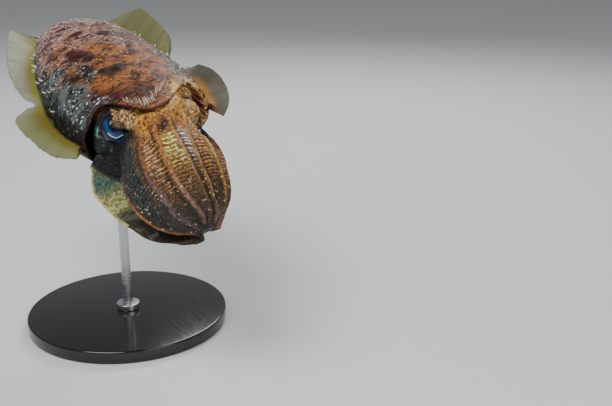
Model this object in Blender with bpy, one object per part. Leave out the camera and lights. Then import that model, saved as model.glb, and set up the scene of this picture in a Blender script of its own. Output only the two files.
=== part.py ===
"""Common cuttlefish, life size, hovering head down over a plain display stand.

All sizes are in metres. The animal is modelled in a body frame, with +X forward, +Y to
the animal's left and +Z towards its back, and the origin in the middle of the mantle's
front opening. An empty then pitches, banks and lifts it over the stand, which stands
on Z = 0 with the middle of its foot at the origin. The animal faces -Y.
"""

import math

import bmesh
import bpy
from mathutils import Matrix, Vector

# Driving sizes of the animal
MANTLE_LENGTH = 0.240
MANTLE_WIDTH = 0.1237
BACK_HEIGHT = 0.0452
BELLY_DEPTH = 0.0343
LIP_THICKNESS = 0.0025
OPENING_DEPTH = 0.013
BACK_TONGUE = 0.0436
BELLY_NOTCH = 0.0021
MARGIN_BITE = 0.0014
LEFT_FLARE = 0.0058
FIN_ROOT_THICKNESS = 0.0048
FIN_EDGE_THICKNESS = 0.0011
HEAD_LENGTH = 0.0355
EYE_RADIUS = 0.0122
ARM_LENGTH = 0.0824
GAP = 0.0003

# Pose of the animal over its stand
PITCH_DEG = 12.25
BANK_DEG = 13.15
BODY_LIFT = 0.205
BODY_FORWARD = 0.075
DROOP_LENGTH = 0.093
DROOP_DEG = 36.7
SWING_START = 0.016
SWING_LENGTH = 0.105
SWING = 0.0022

# Stand
FOOT_RADIUS = 0.095
FOOT_THICKNESS = 0.012
ROD_RADIUS = 0.0045
CRADLE_RADIUS = 0.013
CRADLE_HEIGHT = 0.012

# How finely the surfaces are faceted
MANTLE_STATIONS = 34
BACK_FACETS = 15
BELLY_FACETS = 13
HEAD_STATIONS = 17
HEAD_FACETS = 32
ARM_STATIONS = 15
FIN_STRIPS = 5


def share_between(value, low, high):
    """0 below low, 1 above high, and an even slope from one to the other."""
    return min(1.0, max(0.0, (value - low) / (high - low)))


def eased(share):
    """A share from 0 to 1 with a soft start and end."""
    return share * share * (3.0 - 2.0 * share)


def along(places, values, place):
    """A smooth curve through values that stand at rising places, read at place."""
    index = 0
    while index < len(places) - 2 and place > places[index + 1]:
        index += 1
    before = values[max(index - 1, 0)]
    start, end = values[index], values[index + 1]
    after = values[min(index + 2, len(values) - 1)]
    t = share_between(place, places[index], places[index + 1])
    slope_in = (end - before) / 2.0
    slope_out = (after - start) / 2.0
    return (
        start * (2 * t**3 - 3 * t**2 + 1)
        + slope_in * (t**3 - 2 * t**2 + t)
        + end * (3 * t**2 - 2 * t**3)
        + slope_out * (t**3 - t**2)
    )


def clear_scene():
    """Removes whatever the file started with."""
    for thing in list(bpy.data.objects):
        bpy.data.objects.remove(thing, do_unlink=True)


def finish_material(name, colour, roughness, metallic=0.0):
    """A plain finish that names one of the part's slots."""
    material = bpy.data.materials.new(name)
    material.use_nodes = True
    shader = material.node_tree.nodes["Principled BSDF"]
    shader.inputs["Base Color"].default_value = (*colour, 1.0)
    shader.inputs["Roughness"].default_value = roughness
    shader.inputs["Metallic"].default_value = metallic
    return material


def node_from_bmesh(name, shape, material, parent=None):
    """Closes the bmesh into a named object with its faces pointing out."""
    bmesh.ops.recalc_face_normals(shape, faces=shape.faces)
    mesh = bpy.data.meshes.new(name)
    shape.to_mesh(mesh)
    shape.free()
    mesh.materials.append(material)
    mesh.shade_smooth()
    mesh.set_sharp_from_angle(angle=math.radians(40.0))
    thing = bpy.data.objects.new(name, mesh)
    bpy.context.scene.collection.objects.link(thing)
    thing.parent = parent
    return thing


def loft(shape, rings, cap_start=True, cap_end=True):
    """Joins closed rings of points by quads, with fans to the middle at the ends."""
    loops = [[shape.verts.new(point) for point in ring] for ring in rings]
    for near, far in zip(loops, loops[1:]):
        count = len(near)
        for index in range(count):
            after = (index + 1) % count
            shape.faces.new((near[index], near[after], far[after], far[index]))
    for loop, wanted in ((loops[0], cap_start), (loops[-1], cap_end)):
        if wanted:
            fan(shape, loop)
    return loops


def fan(shape, loop):
    """Closes a loop with triangles to its middle."""
    centre = shape.verts.new(sum((v.co for v in loop), Vector()) / len(loop))
    for index, corner in enumerate(loop):
        shape.faces.new((corner, loop[(index + 1) % len(loop)], centre))


# Mantle. Shares run from its tail to its front rim, and powers set how full a curve is
WIDEST_SHARE = 0.78
HIGHEST_SHARE = 0.50
WIDTH_POWER = 1.75
BACK_POWER = 1.62
BELLY_POWER = 2.1
FRONT_NARROWING = 0.142
BACK_LOWERING = 0.112
BELLY_LOWERING = 0.20
FLARE_START = 0.70
TONGUE_START = 0.72
TONGUE_POWER = 8
SIDE_ROUNDING = 0.92
BACK_ROUNDING = 0.90
BELLY_ROUNDING = 0.95
FIRST_SHARE = 0.002
TAIL_CROWDING = 1.2
RIM_ROUNDING = 0.0012


def rounded_rise(share, widest, power):
    """Rises from 0 at the tail as a round end and stays at 1 past the widest place."""
    if share >= widest:
        return 1.0
    return math.sqrt(1.0 - (1.0 - share / widest) ** power)


def mantle_half_width(share):
    """Half the mantle's width before the left side's flare."""
    narrowing = FRONT_NARROWING * share_between(share, WIDEST_SHARE, 1.0) ** 2
    return MANTLE_WIDTH / 2 * rounded_rise(share, WIDEST_SHARE, WIDTH_POWER) * (1 - narrowing)


def mantle_side(share, side):
    """Half the mantle's width on one side: the left side flares out at the front."""
    flare = LEFT_FLARE * eased(share_between(share, FLARE_START, 1.0)) if side > 0 else 0.0
    return mantle_half_width(share) + flare


def mantle_back(share):
    """Height of the back over the body's middle plane."""
    lowering = BACK_LOWERING * share_between(share, HIGHEST_SHARE, 1.0) ** 1.6
    return BACK_HEIGHT * rounded_rise(share, HIGHEST_SHARE, BACK_POWER) * (1 - lowering)


def mantle_belly(share):
    """Depth of the belly under the body's middle plane."""
    lowering = BELLY_LOWERING * share_between(share, HIGHEST_SHARE, 1.0) ** 2
    return BELLY_DEPTH * rounded_rise(share, HIGHEST_SHARE, BELLY_POWER) * (1 - lowering)


def root_half_height(share):
    """Half the height of the strip along the mantle's side that the fin grows from."""
    return min(FIN_ROOT_THICKNESS / 2, 0.30 * mantle_belly(share))


def front_shift(share, angle):
    """How far the front rim reaches forward at the back's middle and draws in below."""
    weight = eased(share_between(share, TONGUE_START, 1.0))
    if math.sin(angle) > 0:
        bite = MARGIN_BITE * math.sin(2 * angle) ** 2
        return weight * (BACK_TONGUE * math.sin(angle) ** TONGUE_POWER - bite)
    return -weight * BELLY_NOTCH * math.sin(angle) ** 2


def mantle_section(share, inset=0.0):
    """One ring of the mantle: its back from left to right, then its belly back again."""
    root = root_half_height(share)
    back = mantle_back(share) - root - inset
    belly = mantle_belly(share) - root - inset
    x = (share - 1.0) * MANTLE_LENGTH
    ring = []
    for index in range(BACK_FACETS + 1):
        angle = math.pi * index / BACK_FACETS
        across = math.copysign(1.0, math.cos(angle))
        half_width = mantle_side(share, across) - inset
        y = half_width * across * abs(math.cos(angle)) ** SIDE_ROUNDING
        z = root + back * math.sin(angle) ** BACK_ROUNDING
        ring.append(Vector((x + front_shift(share, angle), y, z)))
    for index in range(BELLY_FACETS + 1):
        angle = math.pi + math.pi * index / BELLY_FACETS
        across = math.copysign(1.0, math.cos(angle))
        half_width = mantle_side(share, across) - inset
        y = half_width * across * abs(math.cos(angle)) ** SIDE_ROUNDING
        depth = (-math.sin(angle)) ** BELLY_ROUNDING if 0 < index < BELLY_FACETS else 0.0
        z = -root - belly * depth
        ring.append(Vector((x + front_shift(share, angle), y, z)))
    return ring


def mantle_shares():
    """Stations from tail to front, closer together at the round tail."""
    return [
        FIRST_SHARE + (1.0 - FIRST_SHARE) * (index / (MANTLE_STATIONS - 1)) ** TAIL_CROWDING
        for index in range(MANTLE_STATIONS)
    ]


def add_mantle(material, parent):
    """The mantle as one solid, open at the front as deep as the head sits in it."""
    shape = bmesh.new()
    rings = [mantle_section(share) for share in mantle_shares()]
    inner = mantle_section(1.0, LIP_THICKNESS)
    rim = [(a + b) / 2 + Vector((RIM_ROUNDING, 0, 0)) for a, b in zip(rings[-1], inner)]
    floor = [Vector((-OPENING_DEPTH, p.y, p.z)) for p in inner]
    loft(shape, rings + [rim, inner, floor])
    return node_from_bmesh("mantle", shape, material, parent)


# Fins
FIN_STATION_SHARES = (
    0.0, 0.06, 0.12, 0.20, 0.28, 0.36, 0.44, 0.51, 0.58, 0.65, 0.74, 0.84, 0.92, 1.0,
)
RIGHT_FIN_WIDTHS_MM = (45, 39, 33, 29, 26, 22, 17, 8, 13, 32, 29, 24, 19, 10)
RIGHT_FIN_LIFT_DEG = (37, 39, 36, 30, 26, 17, 6, -41, -3, 16, 3, -14, -23, -26)
RIGHT_FIN_SWEEP_DEG = (-29, -26, -19, -8, -1, 4, 0, -1, -12, 18, 32, 35, 35, 45)
LEFT_FIN_WIDTHS_MM = (51, 44, 43, 47, 42, 37, 32, 30, 31, 29, 23, 30, 21, 12)
LEFT_FIN_LIFT_DEG = (6, 17, 30, 43, 42, 40, 33, 14, -23, -37, 35, 54, 39, -38)
LEFT_FIN_SWEEP_DEG = (-2, -4, -5, -2, 2, 1, -10, -33, -58, -47, -6, 14, 11, 17)
FIN_TAIL_SHARE = 0.022
FIN_FRONT_SHARE = 0.985
FIN_TURN_SPEED = 1.6
FIN_THINNING = 0.6


def fin_ring(share, tables, side):
    """Upper and lower points of one fin section, from root to edge."""
    widths_mm, lifts, sweeps = tables
    root = root_half_height(share)
    point = Vector(((share - 1.0) * MANTLE_LENGTH, side * (mantle_side(share, side) + GAP), 0))
    width = along(FIN_STATION_SHARES, widths_mm, share) / 1000
    lift = math.radians(along(FIN_STATION_SHARES, lifts, share))
    sweep = math.radians(along(FIN_STATION_SHARES, sweeps, share))
    upper, lower = [], []
    for strip in range(FIN_STRIPS + 1):
        reach = strip / FIN_STRIPS
        turn = lift * eased(min(1.0, reach * FIN_TURN_SPEED))
        outward = Vector(
            (
                math.sin(sweep),
                side * math.cos(turn) * math.cos(sweep),
                math.sin(turn) * math.cos(sweep),
            )
        )
        normal = Vector((0, -side * math.sin(turn), math.cos(turn)))
        if strip:
            point = point + outward * width / FIN_STRIPS
        half = root + (min(root, FIN_EDGE_THICKNESS / 2) - root) * reach**FIN_THINNING
        upper.append(point + normal * half)
        lower.append(point - normal * half)
    return upper, lower


def add_fin(name, tables, side, material, parent):
    """One fin along the whole of a side, a hair's gap off the mantle."""
    shape = bmesh.new()
    shares = [s for s in mantle_shares() if FIN_TAIL_SHARE <= s <= FIN_FRONT_SHARE]
    rings = []
    for share in shares:
        upper, lower = fin_ring(share, tables, side)
        rings.append(upper + lower[::-1])
    loft_in_triangles(shape, rings, FIN_STRIPS + 1)
    return node_from_bmesh(name, shape, material, parent)


def loft_in_triangles(shape, rings, half_count):
    """Lofts thin rings, upper points then lower ones, cut alike on both faces."""
    loops = [[shape.verts.new(point) for point in ring] for ring in rings]
    count = len(loops[0])
    for near, far in zip(loops, loops[1:]):
        for index in range(count):
            after = (index + 1) % count
            a, b, c, d = near[index], near[after], far[after], far[index]
            if index < half_count:
                shape.faces.new((a, b, c))
                shape.faces.new((a, c, d))
            else:
                shape.faces.new((a, b, d))
                shape.faces.new((b, c, d))
    for loop in (loops[0], loops[-1]):
        for index in range(half_count - 1):
            lower = count - 1 - index
            shape.faces.new((loop[index], loop[index + 1], loop[lower - 1]))
            shape.faces.new((loop[index], loop[lower - 1], loop[lower]))
    return loops


# Head, on a spine that bends down from the mantle towards the arms' tips
SPINE_STEP = 0.0005


def spine(distance):
    """Centre, forward, left and dorsal directions at a distance past the mantle's front."""
    swing = SWING * max(0.0, (distance - SWING_START) / SWING_LENGTH) ** 1.6
    centre = Vector((min(distance, 0.0), swing, 0))
    bend = 0.0
    steps = max(0, int(round(distance / SPINE_STEP)))
    for step in range(steps):
        middle = (step + 0.5) * distance / steps
        bend = droop_at(middle)
        centre += Vector((math.cos(bend), 0, -math.sin(bend))) * distance / steps
    bend = droop_at(distance)
    forward = Vector((math.cos(bend), 0, -math.sin(bend)))
    dorsal = Vector((math.sin(bend), 0, math.cos(bend)))
    return centre, forward, Vector((0, 1, 0)), dorsal


def droop_at(distance):
    """How far the spine has bent down, in radians."""
    place = share_between(distance, 0.0, DROOP_LENGTH)
    return math.radians(DROOP_DEG) * eased(place)


HEAD_PLACES = (-0.0127, 0.0, 0.008, 0.016, 0.026, 0.0355)
HEAD_HALF_WIDTHS = (0.0445, 0.0455, 0.0460, 0.0440, 0.0395, 0.0340)
HEAD_BACKS = (0.0300, 0.0340, 0.0355, 0.0360, 0.0355, 0.0340)
HEAD_BELLIES = (0.0085, 0.0100, 0.0150, 0.0205, 0.0250, 0.0280)
EYE_PLACE = 0.0180
EYE_SIDE = 0.0285
EYE_HEIGHT = 0.0140
EYE_BULGE = 0.0030
EYE_BULGE_DEG = 22.0
EYE_BULGE_LENGTH = 0.011
EYE_BULGE_SPREAD = 0.40
SOCKET_GAP = 1.6 * GAP


def head_ring(place):
    """One section of the head across its spine."""
    centre, _, left, dorsal = spine(place)
    half_width = along(HEAD_PLACES, HEAD_HALF_WIDTHS, place)
    back = along(HEAD_PLACES, HEAD_BACKS, place)
    belly = along(HEAD_PLACES, HEAD_BELLIES, place)
    ring = []
    for index in range(HEAD_FACETS):
        angle = 2 * math.pi * index / HEAD_FACETS
        height = back if math.sin(angle) > 0 else belly
        bulge = eye_bulge(place, angle)
        ring.append(
            centre
            + left * (half_width + bulge) * math.cos(angle)
            + dorsal * height * math.sin(angle)
        )
    return ring


def eye_bulge(place, angle):
    """How far the head swells round the eyes, which sit above its sides."""
    up_from_side = math.atan2(math.sin(angle), abs(math.cos(angle)))
    from_bulge = up_from_side - math.radians(EYE_BULGE_DEG)
    along_head = math.exp(-(((place - EYE_PLACE) / EYE_BULGE_LENGTH) ** 2))
    around = math.exp(-((from_bulge / EYE_BULGE_SPREAD) ** 2))
    return EYE_BULGE * along_head * around


# Distance past the head's front end, and size next to the arms' basket
SNOUT_RINGS = ((0.0, 0.40), (0.005, 0.27), (0.007, 0.12))


def arm_seat(centre, left, dorsal, scale):
    """A ring of the head's front end, inside the arms' roots."""
    ring = []
    for index in range(HEAD_FACETS):
        angle = 2 * math.pi * index / HEAD_FACETS
        ring.append(
            centre
            + left * basket_half_width(0) * scale * math.cos(angle)
            + dorsal * basket_half_height(0) * scale * math.sin(angle)
        )
    return ring


def add_head(material, parent):
    """The head, with a blunt snout that fills the middle of the arms' roots."""
    shape = bmesh.new()
    first, last = HEAD_PLACES[0], HEAD_PLACES[-1]
    rings = [
        head_ring(first + (last - first) * index / (HEAD_STATIONS - 1))
        for index in range(HEAD_STATIONS)
    ]
    centre, forward, left, dorsal = spine(last)
    for ahead, scale in SNOUT_RINGS:
        rings.append(arm_seat(centre + forward * ahead, left, dorsal, scale))
    loft(shape, rings)
    return node_from_bmesh("head", shape, material, parent)


def eye_centre(side):
    """Middle of an eye. The right side is -1 and the left side 1."""
    centre, _, left, dorsal = spine(EYE_PLACE)
    return centre + left * side * EYE_SIDE + dorsal * EYE_HEIGHT


def add_eye(name, side, material, parent):
    """One eye as a ball in its socket."""
    shape = bmesh.new()
    bmesh.ops.create_uvsphere(shape, u_segments=18, v_segments=10, radius=EYE_RADIUS)
    bmesh.ops.rotate(shape, verts=shape.verts, matrix=Matrix.Rotation(math.pi / 2, 3, "X"))
    bmesh.ops.translate(shape, verts=shape.verts, vec=eye_centre(side))
    return node_from_bmesh(name, shape, material, parent)


def cut_sockets(head, parent):
    """Takes a ball a little larger than each eye out of the head."""
    for side in (-1, 1):
        shape = bmesh.new()
        bmesh.ops.create_uvsphere(
            shape, u_segments=18, v_segments=10, radius=EYE_RADIUS + SOCKET_GAP
        )
        bmesh.ops.rotate(shape, verts=shape.verts, matrix=Matrix.Rotation(math.pi / 2, 3, "X"))
        bmesh.ops.translate(shape, verts=shape.verts, vec=eye_centre(side))
        cutter = node_from_bmesh("socket_cutter", shape, head.data.materials[0], parent)
        boolean(head, cutter, "DIFFERENCE")


def boolean(thing, other, operation):
    """Applies one Boolean and removes the other object."""
    modifier = thing.modifiers.new("shape", "BOOLEAN")
    modifier.operation = operation
    modifier.solver = "MANIFOLD"
    modifier.object = other
    apply_modifiers(thing)
    bpy.data.objects.remove(other, do_unlink=True)


def apply_modifiers(thing):
    """Replaces a thing's mesh by its modified one."""
    graph = bpy.context.evaluated_depsgraph_get()
    mesh = bpy.data.meshes.new_from_object(thing.evaluated_get(graph))
    thing.modifiers.clear()
    thing.data = mesh


# Arms, as sectors of one basket round the drooping spine
ARM_ANGLES_DEG = (14.5, 50.0, 92.0, 143.0)
ARM_SECTORS_DEG = (14.0, 20.5, 20.5, 28.5)
ARM_ENDS = {-1: (0.96, 0.98, 1.0, 1.06), 1: (0.96, 0.98, 1.0, 1.0)}
ARM_KEELS = (0.0025, 0.0028, 0.0048)
KEEL_SHARES = (0.0, 0.15, 0.30, 0.48, 0.60, 0.80, 1.0, 1.06)
LOW_KEEL_WIDTHS = (0.041, 0.042, 0.040, 0.033, 0.026, 0.020, 0.013, 0.006)
LOW_KEEL_EDGE = 0.0011
LOW_KEEL_ROOT_DEG = 122.0
LOW_KEEL_TURNS_DEG = (-76.0, -50.0, -30.0, -22.0, -22.0, -22.0, -22.0, -22.0)
LOW_KEEL_SWEEPS = {-1: 0.70, 1: 0.38}
LOW_KEEL_SWEEP_END = 0.6
BASKET_PLACES = (0.0, 0.25, 0.5, 0.7, 0.85, 1.0)
BASKET_HALF_WIDTHS = (0.0323, 0.0339, 0.0331, 0.0291, 0.0215, 0.0080)
BASKET_HALF_HEIGHTS = (0.0325, 0.0305, 0.0276, 0.0241, 0.0182, 0.0088)
ARM_THICKNESSES = (0.0105, 0.0097, 0.0085, 0.0069, 0.0049, 0.0026)


def basket_half_width(share):
    """Half the width of the arms' common basket."""
    return along(BASKET_PLACES, BASKET_HALF_WIDTHS, share)


def basket_half_height(share):
    """Half the height of the arms' common basket."""
    return along(BASKET_PLACES, BASKET_HALF_HEIGHTS, share)


def basket_point(share, angle):
    """A point on the basket, and its outward direction there. Angle 0 is the back."""
    centre, _, left, dorsal = spine(HEAD_LENGTH + GAP + share * ARM_LENGTH)
    wide, high = basket_half_width(share), basket_half_height(share)
    point = centre + left * wide * math.sin(angle) + dorsal * high * math.cos(angle)
    outward = left * math.sin(angle) / wide + dorsal * math.cos(angle) / high
    return point, outward.normalized()


def arm_fill(share):
    """How much of its sector an arm fills: nearly all at the root, less at the tip."""
    return 0.985 - 0.10 * share**2


def arm_slimming(pair, side, share):
    """How an arm thins towards its end, from 1 down to a blunt tip's share."""
    local = share / ARM_ENDS[side][pair]
    slim = (1.0 - local**9) ** 0.5 if local < 1 else 0.0
    return max(slim, 0.16)


def arm_thickness(pair, side, share):
    """How thick an arm is across the basket's wall."""
    slim = arm_slimming(pair, side, share)
    return along(BASKET_PLACES, ARM_THICKNESSES, share) * (0.35 + 0.65 * slim)


def arm_ring(pair, side, share):
    """One section of an arm: flat inner face, rounded back and a keel along it."""
    middle = math.radians(ARM_ANGLES_DEG[pair]) * side
    sector = math.radians(ARM_SECTORS_DEG[pair]) * arm_fill(share)
    end = ARM_ENDS[side][pair]
    local = share / end
    slim = arm_slimming(pair, side, share)
    thickness = arm_thickness(pair, side, share)
    ring = []
    for across, outward_share in ARM_PROFILE:
        point, outward = basket_point(share, middle + across * sector * slim)
        if across == 0.0 and outward_share > 0:
            if pair == 3:
                ring += low_keel(point, outward, thickness, side, share)
                continue
            height = ARM_KEELS[pair] * math.sin(math.pi * (0.10 + 0.86 * local)) ** 0.7
            outward_share += height / thickness
        ring.append(point + outward * outward_share * thickness)
    return ring


ARM_PROFILE = (
    (-0.62, -1.0), (0.0, -1.02), (0.62, -1.0), (0.93, -0.72), (1.0, -0.40),
    (0.86, -0.10), (0.48, 0.06), (0.15, 0.16), (0.0, 0.20), (-0.15, 0.16),
    (-0.48, 0.06), (-0.86, -0.10), (-1.0, -0.40), (-0.93, -0.72),
)
KEEL_CORNER = ARM_PROFILE.index((0.0, 0.20))
KEEL_REACHES = (0.25, 0.5, 0.75, 1.0)


def low_keel(point, outward, thickness, side, share):
    """The wide keel of a lowest arm, as points out along one face and back on the other."""
    _, forward, left, dorsal = spine(HEAD_LENGTH + GAP + share * ARM_LENGTH)
    width = along(KEEL_SHARES, LOW_KEEL_WIDTHS, share)
    sweep = LOW_KEEL_SWEEPS[side] * max(0.0, 1.0 - share / LOW_KEEL_SWEEP_END)
    there, back = [], []
    turn_deg = along(KEEL_SHARES, LOW_KEEL_TURNS_DEG, share)
    place = point + outward * thickness * 0.05
    for reach in KEEL_REACHES:
        angle = math.radians(LOW_KEEL_ROOT_DEG + turn_deg * reach) * side
        way = left * math.sin(angle) + dorsal * math.cos(angle) - forward * sweep * (reach > 0.25)
        face = left * math.cos(angle) - dorsal * math.sin(angle)
        place = place + way * width / len(KEEL_REACHES)
        half = thickness * 0.16 * (1 - reach) + LOW_KEEL_EDGE / 2
        there.append(place + face * half)
        back.append(place - face * half)
    return there + back[::-1]


def cap_arm(shape, loop):
    """Closes an arm's end: its thin low keel by strips, and the rest by a fan."""
    first = KEEL_CORNER
    extra = len(loop) - len(ARM_PROFILE)
    last = first + extra
    for index in range(extra // 2):
        near, far = first + index, last - index
        shape.faces.new((loop[near], loop[near + 1], loop[far - 1], loop[far]))
    body = loop[: first + 1] + (loop[last:] if extra else loop[first + 1 :])
    fan(shape, body)


ARM_SPLIT = 0.5


def add_arm(pair, side, material, parent):
    """One arm in two lengths, with a thin cut between them."""
    side_name = "left" if side > 0 else "right"
    end = ARM_ENDS[side][pair]
    cut = GAP / ARM_LENGTH
    lengths = (
        ("root", 0.0, ARM_SPLIT * end - cut / 2),
        ("tip", ARM_SPLIT * end + cut / 2, end),
    )
    stations = ARM_STATIONS // 2 + 1
    for part, start, stop in lengths:
        shape = bmesh.new()
        rings = [
            arm_ring(pair, side, start + (stop - start) * index / (stations - 1))
            for index in range(stations)
        ]
        loops = loft(shape, rings, False, False)
        for loop in (loops[0], loops[-1]):
            cap_arm(shape, loop)
        name = f"arm_{pair + 1}_{side_name}_{part}"
        arm = node_from_bmesh(name, shape, material, parent)
        count = SUCKERS_IN_ROOT if part == "root" else SUCKERS_IN_TIP
        add_suckers(arm, pair, side, start, stop, count)


# Suckers, in two rows along the inner face of every arm
SUCKERS_IN_ROOT = 7
SUCKERS_IN_TIP = 7
SUCKER_RADIUS = 0.0013
SUCKER_NARROWING = 0.62
SUCKER_ROW_SHARE = 0.33
SUCKER_SIDES = 6


def sucker_seat(pair, side, share, row):
    """Where a sucker of one row stands on an arm's inner face, and the way it points."""
    middle = math.radians(ARM_ANGLES_DEG[pair]) * side
    sector = math.radians(ARM_SECTORS_DEG[pair]) * arm_fill(share)
    angle = middle + row * SUCKER_ROW_SHARE * sector * arm_slimming(pair, side, share)
    point, outward = basket_point(share, angle)
    return point - outward * arm_thickness(pair, side, share), -outward


def cup(shape, seat, way, radius, sides):
    """A short cup with a dished mouth, sunk a little into the skin it stands on."""
    turn = way.to_track_quat("Z", "Y").to_matrix()
    rings = []
    for reach, size in ((-0.6, 0.75), (0.35, 1.0), (0.9, 0.82)):
        rings.append([
            seat + turn @ Vector(
                (size * radius * math.cos(a), size * radius * math.sin(a), reach * radius)
            )
            for a in (2 * math.pi * index / sides for index in range(sides))
        ])
    loops = loft(shape, rings, True, False)
    mouth = shape.verts.new(seat + way * radius * 0.35)
    for index, corner in enumerate(loops[-1]):
        shape.faces.new((corner, loops[-1][(index + 1) % sides], mouth))


def join_all(thing, shapes):
    """Unites every shape with the thing in one step and keeps the one closed body."""
    group = bpy.data.collections.new("to_join")
    bpy.context.scene.collection.children.link(group)
    for index, shape in enumerate(shapes):
        piece = node_from_bmesh(f"form_{index}", shape, thing.data.materials[0], thing.parent)
        bpy.context.scene.collection.objects.unlink(piece)
        group.objects.link(piece)
    modifier = thing.modifiers.new("join", "BOOLEAN")
    modifier.operation = "UNION"
    modifier.solver = "EXACT"
    modifier.operand_type = "COLLECTION"
    modifier.collection = group
    apply_modifiers(thing)
    for piece in list(group.objects):
        bpy.data.objects.remove(piece, do_unlink=True)
    bpy.data.collections.remove(group)
    keep_largest(thing)


def keep_largest(thing):
    """Drops every loose closed scrap but the one with the most faces."""
    shape = bmesh.new()
    shape.from_mesh(thing.data)
    left_over = set(shape.faces)
    bodies = []
    while left_over:
        body, edge_of_body = set(), [left_over.pop()]
        while edge_of_body:
            face = edge_of_body.pop()
            body.add(face)
            for edge in face.edges:
                for other in edge.link_faces:
                    if other in left_over:
                        left_over.discard(other)
                        edge_of_body.append(other)
        bodies.append(body)
    bodies.sort(key=len)
    for body in bodies[:-1]:
        bmesh.ops.delete(shape, geom=list(body), context="FACES")
    shape.to_mesh(thing.data)
    shape.free()


def add_suckers(arm, pair, side, start, stop, count):
    """Joins two rows of suckers to one length of an arm, a sucker of each row in turn."""
    shapes = []
    for index in range(count):
        share = start + (stop - start) * (index + 0.6) / count
        radius = SUCKER_RADIUS * (1.0 - SUCKER_NARROWING * share)
        row = 1 if index % 2 else -1
        seat, way = sucker_seat(pair, side, share, row)
        shape = bmesh.new()
        cup(shape, seat, way, radius, SUCKER_SIDES)
        shapes.append(shape)
    join_all(arm, shapes)


# Papillae, the pale cones of skin along the mantle's sides and back. Each has a share of
# the mantle's length, an angle up from its side in degrees, and a height.
PAPILLAE = (
    (0.16, 24, 0.0035), (0.28, 18, 0.0050), (0.40, 22, 0.0060), (0.53, 17, 0.0050),
    (0.66, 22, 0.0060), (0.79, 17, 0.0050), (0.34, 58, 0.0035), (0.62, 52, 0.0035),
)
PAPILLA_SIDES = 7


def mantle_point(share, angle_deg, side):
    """A point on the mantle's back at an angle up from its side, and its outward way."""
    def point(at_share, at_deg):
        angle = math.radians(at_deg)
        root = root_half_height(at_share)
        return Vector(
            (
                (at_share - 1.0) * MANTLE_LENGTH + front_shift(at_share, angle),
                side * mantle_side(at_share, side) * abs(math.cos(angle)) ** 0.92,
                root + (mantle_back(at_share) - root) * math.sin(angle) ** 0.90,
            )
        )

    here = point(share, angle_deg)
    forward = point(share + 0.01, angle_deg) - here
    upward = point(share, angle_deg + 2) - here
    outward = forward.cross(upward) * side
    return here, -outward.normalized()


def cone(shape, seat, way, radius, height, sides):
    """A soft-tipped cone that starts below the skin."""
    turn = way.to_track_quat("Z", "Y").to_matrix()
    rings = []
    for reach, size in ((-0.25, 1.25), (0.25, 0.75), (0.7, 0.36), (0.95, 0.16)):
        rings.append([
            seat + turn @ Vector(
                (size * radius * math.cos(a), size * radius * math.sin(a), reach * height)
            )
            for a in (2 * math.pi * index / sides for index in range(sides))
        ])
    loft(shape, rings)


def add_papillae(mantle):
    """Joins every papilla to the mantle's skin."""
    shapes = []
    for side in (-1, 1):
        for share, angle_deg, height in PAPILLAE:
            seat, way = mantle_point(share, angle_deg, side)
            shape = bmesh.new()
            cone(shape, seat, way, height * 0.6, height, PAPILLA_SIDES)
            shapes.append(shape)
    join_all(mantle, shapes)


# Eyelids, as thick rims of the head over and under each eye. Each starts and stops at an
# angle round the way the eye looks, stands at an angle off it, and has a thickness.
LID_STEPS = 12
LID_SIDES = 8
UPPER_LID = (10.0, 175.0, 62.0, 0.0030)
LOWER_LID = (200.0, 345.0, 70.0, 0.0018)
LID_RISE = 0.0006


def lid_shape(side, lid):
    """One lid as a bent rod that is thickest in its middle."""
    start_deg, stop_deg, cone_deg, thickness = lid
    _, forward, left, dorsal = spine(EYE_PLACE)
    outward = (left * side * 0.90 + forward * 0.30 + dorsal * 0.34).normalized()
    across = dorsal.cross(outward).normalized()
    upward = outward.cross(across)
    centre = eye_centre(side)
    reach = EYE_RADIUS + SOCKET_GAP + LID_RISE
    rings = []
    for step in range(LID_STEPS + 1):
        share = step / LID_STEPS
        turn = math.radians(start_deg + (stop_deg - start_deg) * share)
        ray = across * math.cos(turn) + upward * math.sin(turn)
        from_axis = math.radians(cone_deg)
        middle = centre + (outward * math.cos(from_axis) + ray * math.sin(from_axis)) * reach
        size = thickness * (0.45 + 0.55 * math.sin(math.pi * share))
        near = ray * math.cos(from_axis) - outward * math.sin(from_axis)
        away = outward * math.cos(from_axis) + ray * math.sin(from_axis)
        rings.append([
            middle + (near * math.cos(a) + away * math.sin(a)) * size
            for a in (2 * math.pi * index / LID_SIDES for index in range(LID_SIDES))
        ])
    shape = bmesh.new()
    loft(shape, rings)
    return shape


# Funnel
FUNNEL_LENGTH = 0.036
FUNNEL_PLACES = (0.0, 0.25, 0.55, 0.8, 1.0)
FUNNEL_HALF_WIDTHS = (0.0130, 0.0125, 0.0101, 0.0075, 0.0063)
FUNNEL_HALF_HEIGHTS = (0.0039, 0.0042, 0.0047, 0.0044, 0.0041)
FUNNEL_WALL = 0.0015
FUNNEL_TOP = -0.0165
FUNNEL_FALL = 0.018
FUNNEL_SIDES = 16


def funnel_ring(place, inset=0.0):
    """One section of the funnel, or of its bore when inset by the wall."""
    centre = Vector(
        (
            GAP - OPENING_DEPTH + FUNNEL_LENGTH * place,
            0,
            FUNNEL_TOP - FUNNEL_FALL * place**1.5,
        )
    )
    wide = along(FUNNEL_PLACES, FUNNEL_HALF_WIDTHS, place) - inset
    high = along(FUNNEL_PLACES, FUNNEL_HALF_HEIGHTS, place) - inset
    return [
        centre + Vector((0, wide * math.cos(angle), high * math.sin(angle)))
        for angle in (2 * math.pi * i / FUNNEL_SIDES for i in range(FUNNEL_SIDES))
    ]


def add_funnel(material, parent):
    """The funnel as a flat tube with an open mouth."""
    shape = bmesh.new()
    rings = [funnel_ring(index / 7) for index in range(8)]
    rings += [funnel_ring(place, FUNNEL_WALL) for place in (1.0, 0.85, 0.62)]
    loft(shape, rings)
    return node_from_bmesh("funnel", shape, material, parent)


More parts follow.
